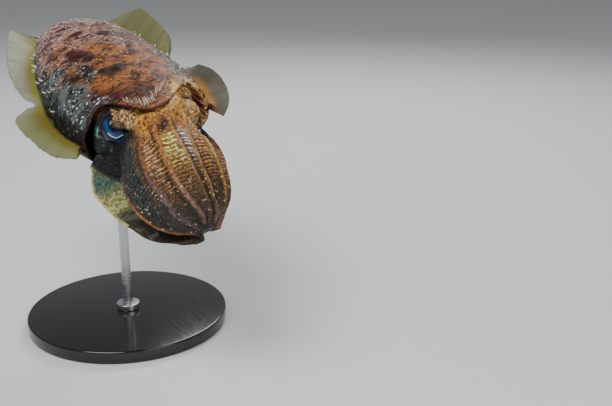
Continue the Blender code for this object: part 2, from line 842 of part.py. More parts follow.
# Stand
FOOT_BEVEL = 0.002
FOOT_SIDES = 64
ROD_SIDES = 16


def add_foot(material):
    """A round foot with softened rims."""
    shape = bmesh.new()
    rings = []
    for radius, height in (
        (FOOT_RADIUS - FOOT_BEVEL / 2, 0.0),
        (FOOT_RADIUS, FOOT_BEVEL / 2),
        (FOOT_RADIUS, FOOT_THICKNESS - FOOT_BEVEL),
        (FOOT_RADIUS - FOOT_BEVEL * 0.3, FOOT_THICKNESS - FOOT_BEVEL * 0.3),
        (FOOT_RADIUS - FOOT_BEVEL, FOOT_THICKNESS),
    ):
        rings.append(circle(Vector((0, 0, height)), radius, FOOT_SIDES))
    loft(shape, rings)
    return node_from_bmesh("stand_foot", shape, material)


def circle(centre, radius, count):
    """Points of a level circle."""
    return [
        centre + Vector((radius * math.cos(angle), radius * math.sin(angle), 0))
        for angle in (2 * math.pi * index / count for index in range(count))
    ]


def add_rod(mantle, place, material):
    """A straight rod with a small cradle that follows the belly above it."""
    shape = bmesh.new()
    count = ROD_SIDES
    start = Vector((place.x, place.y, FOOT_THICKNESS + GAP))
    to_body = mantle.matrix_world.inverted()
    up = (to_body.to_3x3() @ Vector((0, 0, 1))).normalized()
    tops = []
    for point in circle(start, CRADLE_RADIUS, count) + circle(start, CRADLE_RADIUS * 0.5, count):
        where = mantle.ray_cast(to_body @ point, up)[1]
        world = mantle.matrix_world @ where
        tops.append(Vector((point.x, point.y, world.z - 3 * GAP)))
    lowest = min(top.z for top in tops)
    neck = lowest - CRADLE_HEIGHT
    rings = [
        circle(start, ROD_RADIUS, count),
        circle(Vector((start.x, start.y, neck)), ROD_RADIUS, count),
        circle(Vector((start.x, start.y, lowest - 0.003)), CRADLE_RADIUS * 0.96, count),
        tops[:count],
        tops[count:],
    ]
    loft(shape, rings)
    return node_from_bmesh("stand_rod", shape, material)


def build():
    """Makes every node: the animal under a posed empty, and the stand in the world."""
    clear_scene()
    skin = finish_material("mantle_skin", (0.36, 0.16, 0.07), 0.45)
    fin_skin = finish_material("fin_membrane", (0.62, 0.56, 0.36), 0.35)
    arm_skin = finish_material("arm_skin", (0.40, 0.17, 0.05), 0.42)
    eye_gloss = finish_material("eye", (0.02, 0.05, 0.16), 0.08)
    acrylic = finish_material("stand_black", (0.05, 0.05, 0.055), 0.3)
    steel = finish_material("stand_steel", (0.55, 0.56, 0.58), 0.3, 1.0)

    pose = bpy.data.objects.new("pose", None)
    bpy.context.scene.collection.objects.link(pose)
    pose.matrix_world = (
        Matrix.Translation((0, -BODY_FORWARD, BODY_LIFT))
        @ Matrix.Rotation(math.radians(-90), 4, "Z")
        @ Matrix.Rotation(math.radians(PITCH_DEG), 4, "Y")
        @ Matrix.Rotation(math.radians(BANK_DEG), 4, "X")
    )
    mantle = add_mantle(skin, pose)
    right = (RIGHT_FIN_WIDTHS_MM, RIGHT_FIN_LIFT_DEG, RIGHT_FIN_SWEEP_DEG)
    left = (LEFT_FIN_WIDTHS_MM, LEFT_FIN_LIFT_DEG, LEFT_FIN_SWEEP_DEG)
    add_fin("fin_right", right, -1, fin_skin, pose)
    add_fin("fin_left", left, 1, fin_skin, pose)
    add_papillae(mantle)
    head = add_head(skin, pose)
    join_all(head, [lid_shape(side, lid) for side in (-1, 1) for lid in (UPPER_LID, LOWER_LID)])
    cut_sockets(head, pose)
    add_eye("eye_right", -1, eye_gloss, pose)
    add_eye("eye_left", 1, eye_gloss, pose)
    for pair in range(4):
        for side in (-1, 1):
            add_arm(pair, side, arm_skin, pose)
    add_funnel(skin, pose)
    bpy.context.view_layer.update()
    add_foot(acrylic)
    add_rod(mantle, Vector(), steel)


build()
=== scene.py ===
"""The visual model of a life-size cuttlefish that hovers over a plain display stand.

The animal's forms are worked out in a body frame: +X forward, +Y to its left and +Z
towards its back, with the origin in the middle of the mantle's front opening. They follow
the solids' sizes, in metres, and are drawn much finer. Where a form differs from its solid
by more than that, a comment at its sizes says so.
"""

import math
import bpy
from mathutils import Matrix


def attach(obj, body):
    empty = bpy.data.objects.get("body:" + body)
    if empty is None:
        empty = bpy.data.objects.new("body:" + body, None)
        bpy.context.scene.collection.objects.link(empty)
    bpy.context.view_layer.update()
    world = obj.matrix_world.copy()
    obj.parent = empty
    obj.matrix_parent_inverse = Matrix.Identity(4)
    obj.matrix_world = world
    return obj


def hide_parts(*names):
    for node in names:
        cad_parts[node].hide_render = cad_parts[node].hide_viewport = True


bl_info = {
    "name": "Cuttlefish on a Display Stand",
    "version": (1, 0, 0),
    "blender": (4, 5, 0),
    "location": "3D View > Sidebar > Cuttlefish",
    "description": "Builds the skins, eyes, suckers, stand and stage of a cuttlefish model",
    "category": "Add Mesh",
}

import bmesh
import bpy
import numpy as np
from mathutils import Matrix, Vector

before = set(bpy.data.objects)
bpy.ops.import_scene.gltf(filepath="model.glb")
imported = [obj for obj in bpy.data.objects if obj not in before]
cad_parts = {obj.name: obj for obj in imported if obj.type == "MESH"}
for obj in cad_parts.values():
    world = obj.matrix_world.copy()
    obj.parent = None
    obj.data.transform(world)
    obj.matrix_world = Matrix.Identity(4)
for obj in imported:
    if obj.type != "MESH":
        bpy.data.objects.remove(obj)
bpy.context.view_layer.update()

# Sizes in metres and degrees
MANTLE_LENGTH = 0.240
MANTLE_WIDTH = 0.1237
BACK_HEIGHT = 0.0452
BELLY_DEPTH = 0.0343
LIP_THICKNESS = 0.0025
BACK_TONGUE = 0.0436
TONGUE_POWERS = {-1: 13, 1: 7}
BELLY_NOTCH = 0.0021
MARGIN_BITES = {-1: 0.0045, 1: 0.0014}
MARGIN_CHEEK = 0.0075
LEFT_FLARE = 0.0058
# Powers of the mantle's cross section: 1 is an ellipse, and less is squarer
SIDE_ROUNDNESS = 0.92
BACK_ROUNDNESS = 0.90
BELLY_ROUNDNESS = 0.95
WIDEST_SHARE = 0.78
HIGHEST_SHARE = 0.50
FIN_ROOT_THICKNESS = 0.0048
FIN_EDGE_THICKNESS = 0.0011
HEAD_LENGTH = 0.0355
EYE_RADIUS = 0.0122
ARM_LENGTH = 0.0824
GAP = 0.0003
PITCH_DEG = 12.25
BANK_DEG = 13.15
BODY_LIFT = 0.205
BODY_FORWARD = 0.075
DROOP_LENGTH = 0.093
DROOP_DEG = 36.7
SWING_START = 0.016
SWING_LENGTH = 0.105
SWING = 0.0022
FOOT_RADIUS = 0.095
FOOT_THICKNESS = 0.012

FIN_STATION_SHARES = (
    0.0, 0.06, 0.12, 0.20, 0.28, 0.36, 0.44, 0.51, 0.58, 0.65, 0.74, 0.84, 0.92, 1.0,
)
FIN_TAIL_SHARE = 0.022
FIN_FRONT_SHARE = 0.985
# Each fin's width in mm, and its lift and sweep in degrees, at those shares. The left one's
# front end is up to 5 mm wider or narrower than its solid, lifted less and swept further.
FIN_TABLES = {
    -1: (
        (45, 39, 33, 29, 26, 22, 17, 8, 13, 32, 29, 24, 19, 10),
        (37, 39, 36, 30, 26, 17, 6, -41, -3, 16, 3, -14, -23, -26),
        (-29, -26, -19, -8, -1, 4, 0, -1, -12, 18, 32, 35, 35, 45),
    ),
    1: (
        (51, 44, 43, 47, 42, 37, 32, 30, 31, 29, 22, 26, 23, 17),
        (6, 17, 30, 43, 42, 40, 33, 14, -23, -37, 35, 50, 8, -68),
        (-2, -4, -5, -2, 2, 1, -10, -33, -58, -47, -6, 14, 24, 34),
    ),
}

HEAD_REAR = -0.0127
HEAD_PLACES = (HEAD_REAR, 0.0, 0.008, 0.016, 0.026, 0.0355)
HEAD_HALF_WIDTHS = (0.0445, 0.0455, 0.0460, 0.0440, 0.0395, 0.0340)
HEAD_BACKS = (0.0300, 0.0340, 0.0355, 0.0360, 0.0355, 0.0340)
HEAD_BELLIES = (0.0085, 0.0100, 0.0150, 0.0205, 0.0250, 0.0280)
EYE_PLACE = 0.0180
# Where each drawn eye stands: place, side, height, and how far out along its view
EYE_SEATS = {-1: (0.0146, 0.0270, 0.0175, 0.0035), 1: (0.0180, 0.0285, 0.0115, 0.0008)}
EYE_BULGE = 0.0030
EYE_BULGE_DEG = 22.0

ARM_ANGLES_DEG = (14.5, 50.0, 92.0, 143.0)
ARM_SECTORS_DEG = (14.0, 20.5, 20.5, 28.5)
ARM_ENDS = {-1: (0.96, 0.98, 1.0, 1.06), 1: (0.96, 0.98, 1.0, 1.0)}
# Height of the keel along each third arm, and where across the arm its crest runs
SIDE_KEELS = {-1: (0.0085, -0.45), 1: (0.0044, 0.0)}
SIDE_KEEL_HALF_WIDTH = 0.45
KEEL_SHARES = (0.0, 0.15, 0.30, 0.48, 0.60, 0.80, 1.0, 1.06)
# The lowest arms' wide keels stay up to 5 mm wider towards the tips than the solids'
LOW_KEEL_WIDTHS = (0.041, 0.042, 0.040, 0.035, 0.030, 0.025, 0.017, 0.006)
LOW_KEEL_SCALES = {-1: 1.04, 1: 0.84}
LOW_KEEL_TURNS_DEG = (-76.0, -50.0, -30.0, -22.0, -22.0, -22.0, -22.0, -22.0)
LOW_KEEL_ROOT_DEG = 122.0
LOW_KEEL_SWEEPS = {-1: 0.70, 1: 0.38}
BASKET_PLACES = (0.0, 0.25, 0.5, 0.7, 0.85, 1.0)
BASKET_HALF_WIDTHS = (0.0323, 0.0339, 0.0331, 0.0291, 0.0215, 0.0080)
BASKET_HALF_HEIGHTS = (0.0325, 0.0305, 0.0276, 0.0241, 0.0182, 0.0088)
ARM_THICKNESSES = (0.0105, 0.0097, 0.0085, 0.0069, 0.0049, 0.0026)

BODY_TO_WORLD = (
    Matrix.Translation((0, -BODY_FORWARD, BODY_LIFT))
    @ Matrix.Rotation(math.radians(-90), 4, "Z")
    @ Matrix.Rotation(math.radians(PITCH_DEG), 4, "Y")
    @ Matrix.Rotation(math.radians(BANK_DEG), 4, "X")
)


# Shares, curves and soft random values
def slope(value, low, high):
    """0 below low, 1 above high, and an even slope from one to the other."""
    return np.clip((np.asarray(value, float) - low) / (high - low), 0.0, 1.0)


def eased(share):
    """A share from 0 to 1 with a soft start and end."""
    return share * share * (3.0 - 2.0 * share)


def ease(value, low, high):
    """The slope from low to high with a soft start and end."""
    return eased(slope(value, low, high))


def cubic(t, start, end, slope_in, slope_out):
    """A curve from start to end that leaves and arrives with the given slopes."""
    return (
        start * (2 * t**3 - 3 * t**2 + 1)
        + slope_in * (t**3 - 2 * t**2 + t)
        + end * (3 * t**2 - 2 * t**3)
        + slope_out * (t**3 - t**2)
    )


def along(places, values, where):
    """A smooth curve through values that stand at rising places, read at many places."""
    places, values = np.asarray(places, float), np.asarray(values, float)
    where = np.asarray(where, float)
    index = np.clip(np.searchsorted(places, where, side="right") - 1, 0, len(places) - 2)
    start, end = values[index], values[index + 1]
    slope_in = (end - values[np.maximum(index - 1, 0)]) / 2
    slope_out = (values[np.minimum(index + 2, len(values) - 1)] - start) / 2
    return cubic(slope(where, places[index], places[index + 1]), start, end, slope_in, slope_out)


def soft_noise(points, size, seed):
    """Smooth random values from -1 to 1 over lumps of the given size."""
    scaled = np.asarray(points, float) / size
    cell = np.floor(scaled).astype(np.int64)
    t = eased(scaled - cell)
    total = np.zeros(len(scaled))
    for corner in range(8):
        step = np.array([corner & 1, corner >> 1 & 1, corner >> 2 & 1])
        x, y, z = (cell + step).T
        mixed = (x * 73856093) ^ (y * 19349663) ^ (z * 83492791) ^ (seed * 668265263)
        mixed = (mixed ^ (mixed >> 13)) * 1274126177 & 0x7FFFFFFF
        value = (mixed ^ (mixed >> 16)) % 20011 / 10005.0 - 1.0
        total += value * np.prod(np.where(step, t, 1.0 - t), axis=1)
    return total


def bell(distance, width):
    """1 where the distance is nought, and close to 0 past twice the width."""
    return np.exp(-((np.asarray(distance) / width) ** 2))


def by_side(is_left, values):
    """The left or the right side's value out of a table, at many places."""
    return np.where(is_left, values[1], values[-1])


# Mantle and fins
def mantle_size(share, full, widest, power, narrowing, narrowing_power=2.0):
    """A size that rises in a round from 0 at the tail and draws in past its widest place."""
    left = np.maximum(0.0, 1.0 - np.minimum(share, widest) / widest)
    drawn_in = narrowing * slope(share, widest, 1.0) ** narrowing_power
    return full * np.sqrt(1.0 - left**power) * (1 - drawn_in)


def mantle_side(share, side):
    """Half the mantle's width on one side: the left side flares out at the front."""
    half = mantle_size(share, MANTLE_WIDTH / 2, WIDEST_SHARE, 1.75, 0.142)
    return half + np.where(np.asarray(side) > 0, LEFT_FLARE * ease(share, 0.70, 1.0), 0.0)


def mantle_back(share):
    return mantle_size(share, BACK_HEIGHT, HIGHEST_SHARE, 1.62, 0.112, 1.6)


def mantle_belly(share):
    return mantle_size(share, BELLY_DEPTH, HIGHEST_SHARE, 2.1, 0.20)


def root_half_height(share):
    return np.minimum(FIN_ROOT_THICKNESS / 2, 0.30 * mantle_belly(share))


def front_shift(share, angle):
    """How far the front rim reaches forward at the back's middle and draws in below."""
    weight = ease(share, 0.72, 1.0)
    up, is_left = np.sin(angle), np.cos(angle) >= 0
    power = by_side(is_left, TONGUE_POWERS)
    bite = by_side(is_left, MARGIN_BITES) * np.sin(2 * angle) ** 2
    from_side = 180.0 - np.degrees(angle)
    cheek = MARGIN_CHEEK * bell(from_side - 30.0, 16.0) * slope(from_side, 0.0, 14.0)
    tongue = weight * (BACK_TONGUE * np.abs(up) ** power - bite + cheek * ~is_left)
    return np.where(up > 0, tongue, -weight * BELLY_NOTCH * up**2)


def mantle_point(share, angle):
    """Points of the mantle at shares of its length and angles round it from its left."""
    share, angle = np.broadcast_arrays(np.asarray(share, float), np.asarray(angle, float))
    across, up = np.cos(angle), np.sin(angle)
    side = np.where(across >= 0, 1.0, -1.0)
    root = root_half_height(share)
    y = mantle_side(share, side) * side * np.abs(across) ** SIDE_ROUNDNESS
    above = root + (mantle_back(share) - root) * np.abs(up) ** BACK_ROUNDNESS
    below = -root - (mantle_belly(share) - root) * np.abs(up) ** BELLY_ROUNDNESS
    x = (share - 1.0) * MANTLE_LENGTH + front_shift(share, angle)
    return np.stack([x, y, np.where(up >= 0, above, below)], axis=-1)


def in_fin(shares):
    return (shares >= FIN_TAIL_SHARE) & (shares <= FIN_FRONT_SHARE)


def fin_faces(shares, side, strips):
    """Upper and lower points of a fin, as lists of columns from the root to the edge."""
    inside = in_fin(shares)
    width, lift, sweep = (along(FIN_STATION_SHARES, row, shares) for row in FIN_TABLES[side])
    width, lift, sweep = np.where(inside, width / 1000, 0.0), np.radians(lift), np.radians(sweep)
    root = root_half_height(shares)
    zero = np.zeros_like(shares)
    point = np.stack(
        [(shares - 1.0) * MANTLE_LENGTH, side * mantle_side(shares, side), zero], axis=-1
    )
    upper, lower = [], []
    for strip in range(1, strips + 1):
        reach = strip / strips
        turn = lift * eased(min(1.0, (reach + 0.06) * 1.6))
        bent = sweep * (0.55 + 0.9 * reach)
        outward = np.stack(
            [np.sin(bent), side * np.cos(turn) * np.cos(bent), np.sin(turn) * np.cos(bent)],
            axis=-1,
        )
        normal = np.stack([zero, -side * np.sin(turn), np.cos(turn)], axis=-1)
        point = point + outward * (width / strips)[:, None]
        edge = np.minimum(root, FIN_EDGE_THICKNESS / 2)
        half = root + (edge - root) * reach**0.45
        half = np.where(inside, half, root)[:, None]
        ripple = 0.0007 * reach * np.sin(shares * 74.0 + reach * 2.0)
        ripple += 0.0004 * reach**2 * np.sin(shares * 171.0 + 1.3)
        ripple = (np.where(inside, ripple, 0.0))[:, None]
        upper.append(point + normal * (half + ripple))
        lower.append(point - normal * (half - ripple))
    return upper, lower


# Spine, head and arms
def spine_bend(place):
    return math.radians(DROOP_DEG) * ease(place, 0.0, DROOP_LENGTH)


SPINE_STEP = 0.00025
SPINE_PLACES = np.arange(0.0, 0.135, SPINE_STEP)
SPINE_BENDS = spine_bend(SPINE_PLACES)
SPINE_BENDS = (SPINE_BENDS[1:] + SPINE_BENDS[:-1]) / 2
SPINE_XS, SPINE_ZS = (
    np.concatenate([[0.0], np.cumsum(way)]) * SPINE_STEP
    for way in (np.cos(SPINE_BENDS), -np.sin(SPINE_BENDS))
)


def spine(place):
    """Centre and the forward and dorsal directions at distances past the mantle."""
    place = np.asarray(place, float)
    x = np.interp(place, SPINE_PLACES, SPINE_XS) + np.minimum(place, 0.0)
    z = np.interp(place, SPINE_PLACES, SPINE_ZS)
    swing = SWING * np.maximum(0.0, (place - SWING_START) / SWING_LENGTH) ** 1.6
    bend = spine_bend(place)
    none = np.zeros_like(bend)
    forward = np.stack([np.cos(bend), none, -np.sin(bend)], axis=-1)
    dorsal = np.stack([np.sin(bend), none, np.cos(bend)], axis=-1)
    return np.stack([x, swing, z], axis=-1), forward, dorsal


LEFT = np.array([0.0, 1.0, 0.0])


def head_point(place, angle):
    """Points of the head at places along its spine and angles from its left side."""
    place, angle = np.broadcast_arrays(np.asarray(place, float), np.asarray(angle, float))
    centre, _, dorsal = spine(place)
    across, up = np.cos(angle), np.sin(angle)
    half_width = along(HEAD_PLACES, HEAD_HALF_WIDTHS, place)
    back = along(HEAD_PLACES, HEAD_BACKS, place)
    belly = along(HEAD_PLACES, HEAD_BELLIES, place)
    up_from_side = np.arctan2(up, np.abs(across))
    bulge = EYE_BULGE * bell(place - EYE_PLACE, 0.011)
    bulge = bulge * bell(up_from_side - math.radians(EYE_BULGE_DEG), 0.40)
    wide = ((half_width + bulge) * across)[..., None]
    high = (np.where(up > 0, back, belly) * up)[..., None]
    return centre + LEFT * wide + dorsal * high


def basket_point(share, angle):
    """Points on the arms' common basket and their outward directions. 0 is the back."""
    share, angle = np.broadcast_arrays(np.asarray(share, float), np.asarray(angle, float))
    centre, _, dorsal = spine(HEAD_LENGTH + GAP + share * ARM_LENGTH)
    wide = along(BASKET_PLACES, BASKET_HALF_WIDTHS, share)[..., None]
    high = along(BASKET_PLACES, BASKET_HALF_HEIGHTS, share)[..., None]
    across, up = np.sin(angle)[..., None], np.cos(angle)[..., None]
    point = centre + LEFT * wide * across + dorsal * high * up
    outward = LEFT * across / wide + dorsal * up / high
    return point, unit(outward)


def arm_slimming(pair, side, share):
    """How an arm thins towards its end."""
    local = np.clip(np.asarray(share) / ARM_ENDS[side][pair], 0.0, 1.0)
    return np.maximum((1.0 - local**9) ** 0.5, 0.16)


def arm_thickness(pair, side, share):
    slim = arm_slimming(pair, side, share)
    return along(BASKET_PLACES, ARM_THICKNESSES, share) * (0.35 + 0.65 * slim)


ARMS = [(pair, side) for pair in range(4) for side in (-1, 1)]
# An arm's section: places across it and outward, in half widths and thicknesses. Its outer
# corners are a little fuller than the solids'.
ARM_PROFILE = (
    (0.0, 0.20), (-0.15, 0.16), (-0.48, 0.10), (-0.86, 0.01), (-1.0, -0.22),
    (-0.93, -0.72), (-0.62, -1.0), (0.0, -1.02), (0.62, -1.0), (0.93, -0.72),
    (1.0, -0.22), (0.86, 0.01), (0.48, 0.10), (0.15, 0.16),
)
# The arms' backs grow together from their roots to here, and part towards the tips
ARMS_PART_AT = 0.80


def arm_columns(pair, side, shares, steps):
    """The closed outline of one arm, as columns of points along it."""
    middle = math.radians(ARM_ANGLES_DEG[pair]) * side
    fused = 1.07 - 0.09 * ease(shares, ARMS_PART_AT, 0.96)
    slim = arm_slimming(pair, side, shares) ** 0.6
    sector = math.radians(ARM_SECTORS_DEG[pair]) * fused * slim
    thickness = arm_thickness(pair, side, shares)
    local = shares / ARM_ENDS[side][pair]
    corners = np.array(ARM_PROFILE)
    columns = []
    for index in range(len(corners)):
        before, start, end, after = (corners[(index + k) % len(corners)] for k in (-1, 0, 1, 2))
        for step in range(steps):
            across, out = cubic(
                step / steps, start, end, (end - before) / 2, (after - start) / 2
            )
            rise = np.zeros_like(shares)
            if pair == 2 and out > 0:
                height, crest = SIDE_KEELS[side]
                height = height * np.sin(math.pi * (0.10 + 0.86 * local.clip(0))) ** 0.7
                rise = height * max(0.0, 1.0 - ((across - crest) / SIDE_KEEL_HALF_WIDTH) ** 2)
            point, outward = basket_point(shares, middle + across * sector)
            columns.append(point + outward * (out * thickness + rise)[:, None])
    return columns


def web_faces(side, shares, strips, half_edge):
    """The wide keel of a lowest arm, as columns out along one face and on the other."""
    middle = math.radians(ARM_ANGLES_DEG[3]) * side
    point, outward = basket_point(shares, np.full_like(shares, middle))
    _, forward, dorsal = spine(HEAD_LENGTH + GAP + shares * ARM_LENGTH)
    thickness = arm_thickness(3, side, shares)
    width = along(KEEL_SHARES, LOW_KEEL_WIDTHS, shares) * LOW_KEEL_SCALES[side]
    width = width * (1 - 0.30 * slope(shares, 0.45, 0.85) * (side > 0))
    turn_deg = along(KEEL_SHARES, LOW_KEEL_TURNS_DEG, shares)
    sweep = LOW_KEEL_SWEEPS[side] * np.maximum(0.0, 1.0 - shares / 0.6)
    place = point - outward * (thickness * 0.35)[:, None]
    there, back = [], []
    for strip in range(strips + 1):
        reach = strip / strips
        angle = np.radians(LOW_KEEL_ROOT_DEG + turn_deg * (reach + 0.12)) * side
        across, up = np.sin(angle)[:, None], np.cos(angle)[:, None]
        way = LEFT * across + dorsal * up
        face = LEFT * up - dorsal * across
        if reach > 0.27:
            way = way - forward * sweep[:, None]
        if strip:
            place = place + way * (width / strips)[:, None]
        half = thickness * 0.16 * (1 - reach) + half_edge
        wave = 0.0012 * reach * np.sin(shares * 21.0 + 0.6)
        there.append(place + face * (half + wave)[:, None])
        back.append(place - face * (half - wave)[:, None])
    return there, back


def eye_centre(side):
    place, beside, height, forward = EYE_SEATS[side]
    centre, _, dorsal = spine(place)
    view = eye_view_axes(side)[0]
    return centre + LEFT * side * beside + dorsal * height + view * forward


def unit(vector):
    return vector / np.linalg.norm(vector, axis=-1, keepdims=True)


def eye_axes(side):
    """The way an eye looks, and its across and upward directions."""
    _, forward, dorsal = spine(EYE_PLACE)
    outward = unit(LEFT * side * 0.90 + forward * 0.30 + dorsal * 0.34)
    across = unit(np.cross(dorsal, outward))
    return outward, across, np.cross(outward, across)


# Where each eye's opening is looked at from, and what is right of it there, as shares of the
# eye's outward, forward and upward directions
EYE_VIEWS = {
    -1: ((0.60, 0.72, 0.345), (-0.784, 0.614, 0.080)),
    1: ((0.95, -0.22, -0.22), (0.0, 1.0, 0.0)),
}


def eye_view_axes(side):
    """A fixed frame in front of an eye, in which its opening and iris are laid out."""
    outward, across, upward = eye_axes(side)
    view, right = (
        outward * a - across * side * b + upward * c for a, b, c in EYE_VIEWS[side]
    )
    view = unit(view)
    right = unit(right - view * (right @ view))
    up = upward - view * (upward @ view)
    return view, right, unit(up - right * (up @ right))


EYE_RINGS = 130
EYE_COLUMNS = 200
# Lines on the eye, in the plane of its opening, in radii from its middle
# EYE_LINE is a painted highlight line along the iris's lower edge
EYE_LINE = ((-0.50, -0.30), (-0.32, -0.48), (-0.05, -0.58), (0.08, -0.58), (0.42, -0.38))
EYE_GLOW = ((-0.66, 0.40), (-0.58, 0.0), (-0.34, -0.34), (0.0, -0.48), (0.40, -0.34))
EYE_SLIT = ((-0.30, -0.76), (-0.08, -0.80), (0.15, -0.66), (0.44, -0.46))


def distance_to_path(x, y, path):
    nearest = np.full(np.shape(x), 9.0)
    for (ax, ay), (bx, by) in zip(path, path[1:]):
        length = (bx - ax) ** 2 + (by - ay) ** 2
        t = np.clip(((x - ax) * (bx - ax) + (y - ay) * (by - ay)) / length, 0, 1)
        nearest = np.minimum(nearest, np.hypot(x - ax - t * (bx - ax), y - ay - t * (by - ay)))
    return nearest


def lid_edge(x, y):
    """How far a place is past the lid's edge into the opening; the lid hangs over a corner."""
    beside = x + 0.30 + 0.03 * np.sin(y * 8)
    above = y + 0.02 + 0.14 * np.maximum(0, x - 0.3)
    round_corner = 0.09 * bell(beside - above, 0.22)
    return -(np.minimum(beside, above) - round_corner)


# Meshes from columns of points
def moved(points, matrix):
    matrix = np.array(matrix)
    return np.asarray(points) @ matrix[:3, :3].T + matrix[:3, 3]


def turns(count):
    """Evenly spread angles of a full turn."""
    return np.linspace(0.0, 2 * math.pi, count, endpoint=False)


def ringed(middle, across, up, radii, count):
    """Columns of points round a middle line, at its radii along the two directions."""
    radii = radii[:, None]
    return [middle + (across * math.cos(a) + up * math.sin(a)) * radii for a in turns(count)]


def ring_faces(stations, around):
    """Quads between closed rings of points that stand station after station."""
    station, index = np.meshgrid(np.arange(stations - 1), np.arange(around), indexing="ij")
    after = (index + 1) % around
    near, far = station * around, (station + 1) * around
    quads = np.stack([near + index, near + after, far + after, far + index], axis=-1)
    return quads.reshape(-1, 4).tolist()


def closed_rings(grid):
    """Points and faces of a grid of rings, with a fan of triangles on each end."""
    stations, around = grid.shape[:2]
    caps = np.stack([grid[0].mean(axis=0), grid[-1].mean(axis=0)])
    total = stations * around
    faces = ring_faces(stations, around)
    for index in range(around):
        faces.append(((index + 1) % around, index, total))
    for index in range(around):
        first = total - around
        faces.append((first + index, first + (index + 1) % around, total + 1))
    return np.concatenate([grid.reshape(-1, 3), caps]), faces


def closed_loft(columns):
    """Points and faces of a tube of columns that is closed at both ends."""
    return closed_rings(np.stack(columns, axis=1))


def add_piece(name, *parts):
    """A smooth mesh object from parts of points, given in the body frame, and faces."""
    faces, first = [], 0
    for points, part_faces in parts:
        faces += [tuple(corner + first for corner in face) for face in part_faces]
        first += len(points)
    points = np.concatenate([part[0] for part in parts])
    mesh = bpy.data.meshes.new(name)
    mesh.from_pydata(moved(points, BODY_TO_WORLD).tolist(), [], faces)
    piece = bpy.data.objects.new(name, mesh)
    bpy.context.scene.collection.objects.link(piece)
    recalculate_normals(piece)
    return piece


def recalculate_normals(piece, merge=0.0):
    """Turns the faces outward, after merging points that are closer than merge."""
    shape = bmesh.new()
    shape.from_mesh(piece.data)
    if merge:
        bmesh.ops.remove_doubles(shape, verts=shape.verts, dist=merge)
        bmesh.ops.dissolve_degenerate(shape, edges=shape.edges, dist=merge / 10)
    bmesh.ops.recalc_face_normals(shape, faces=shape.faces)
    shape.to_mesh(piece.data)
    shape.free()
    piece.data.shade_smooth()


def apply_modifier(piece, kind, **values):
    bpy.context.view_layer.objects.active = piece
    modifier = piece.modifiers.new(kind, kind)
    for key, value in values.items():
        setattr(modifier, key, value)
    bpy.ops.object.modifier_apply(modifier=modifier.name)


def finish_piece(piece, material, slot, *replaced):
    """Gives a piece its finish, hangs it on the body's root and hides the solids it replaces."""
    piece.data.materials.append(material)
    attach(piece, "root")
    if replaced:
        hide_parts(*replaced)


def read_points(piece, key="co"):
    flat = np.empty(len(piece.data.vertices) * 3)
    piece.data.vertices.foreach_get(key, flat)
    return flat.reshape(-1, 3)


def raise_skin(piece, body, away):
    """Moves each point to its place in the body frame, and outward by its share of away."""
    points = moved(body, BODY_TO_WORLD) + read_points(piece, "normal") * away[:, None]
    piece.data.vertices.foreach_set("co", np.ascontiguousarray(points).ravel())
    piece.data.update()


# The attributes that hold colours; every other one holds numbers or vectors
COLOUR_NAMES = ("deep", "bright", "fin_tone")


def store(piece, **named):
    """Keeps numbers, vectors and linear colours at each point for the material to read."""
    for name, values in named.items():
        values = np.asarray(values, float)
        kind, key = ("FLOAT", "value") if values.ndim == 1 else ("FLOAT_VECTOR", "vector")
        if values.ndim > 1 and name in COLOUR_NAMES:
            kind, key = "FLOAT_COLOR", "color"
            values = np.concatenate([values, np.ones((len(values), 1))], axis=1)
        layer = piece.data.attributes.new(name, kind, "POINT")
        layer.data.foreach_set(key, np.ascontiguousarray(values).ravel())


# Materials
def from_hex(text):
    """An sRGB hex colour as linear red, green and blue."""
    values = [int(text[i : i + 2], 16) / 255 for i in (1, 3, 5)]
    return [v / 12.92 if v <= 0.04045 else ((v + 0.055) / 1.055) ** 2.4 for v in values]


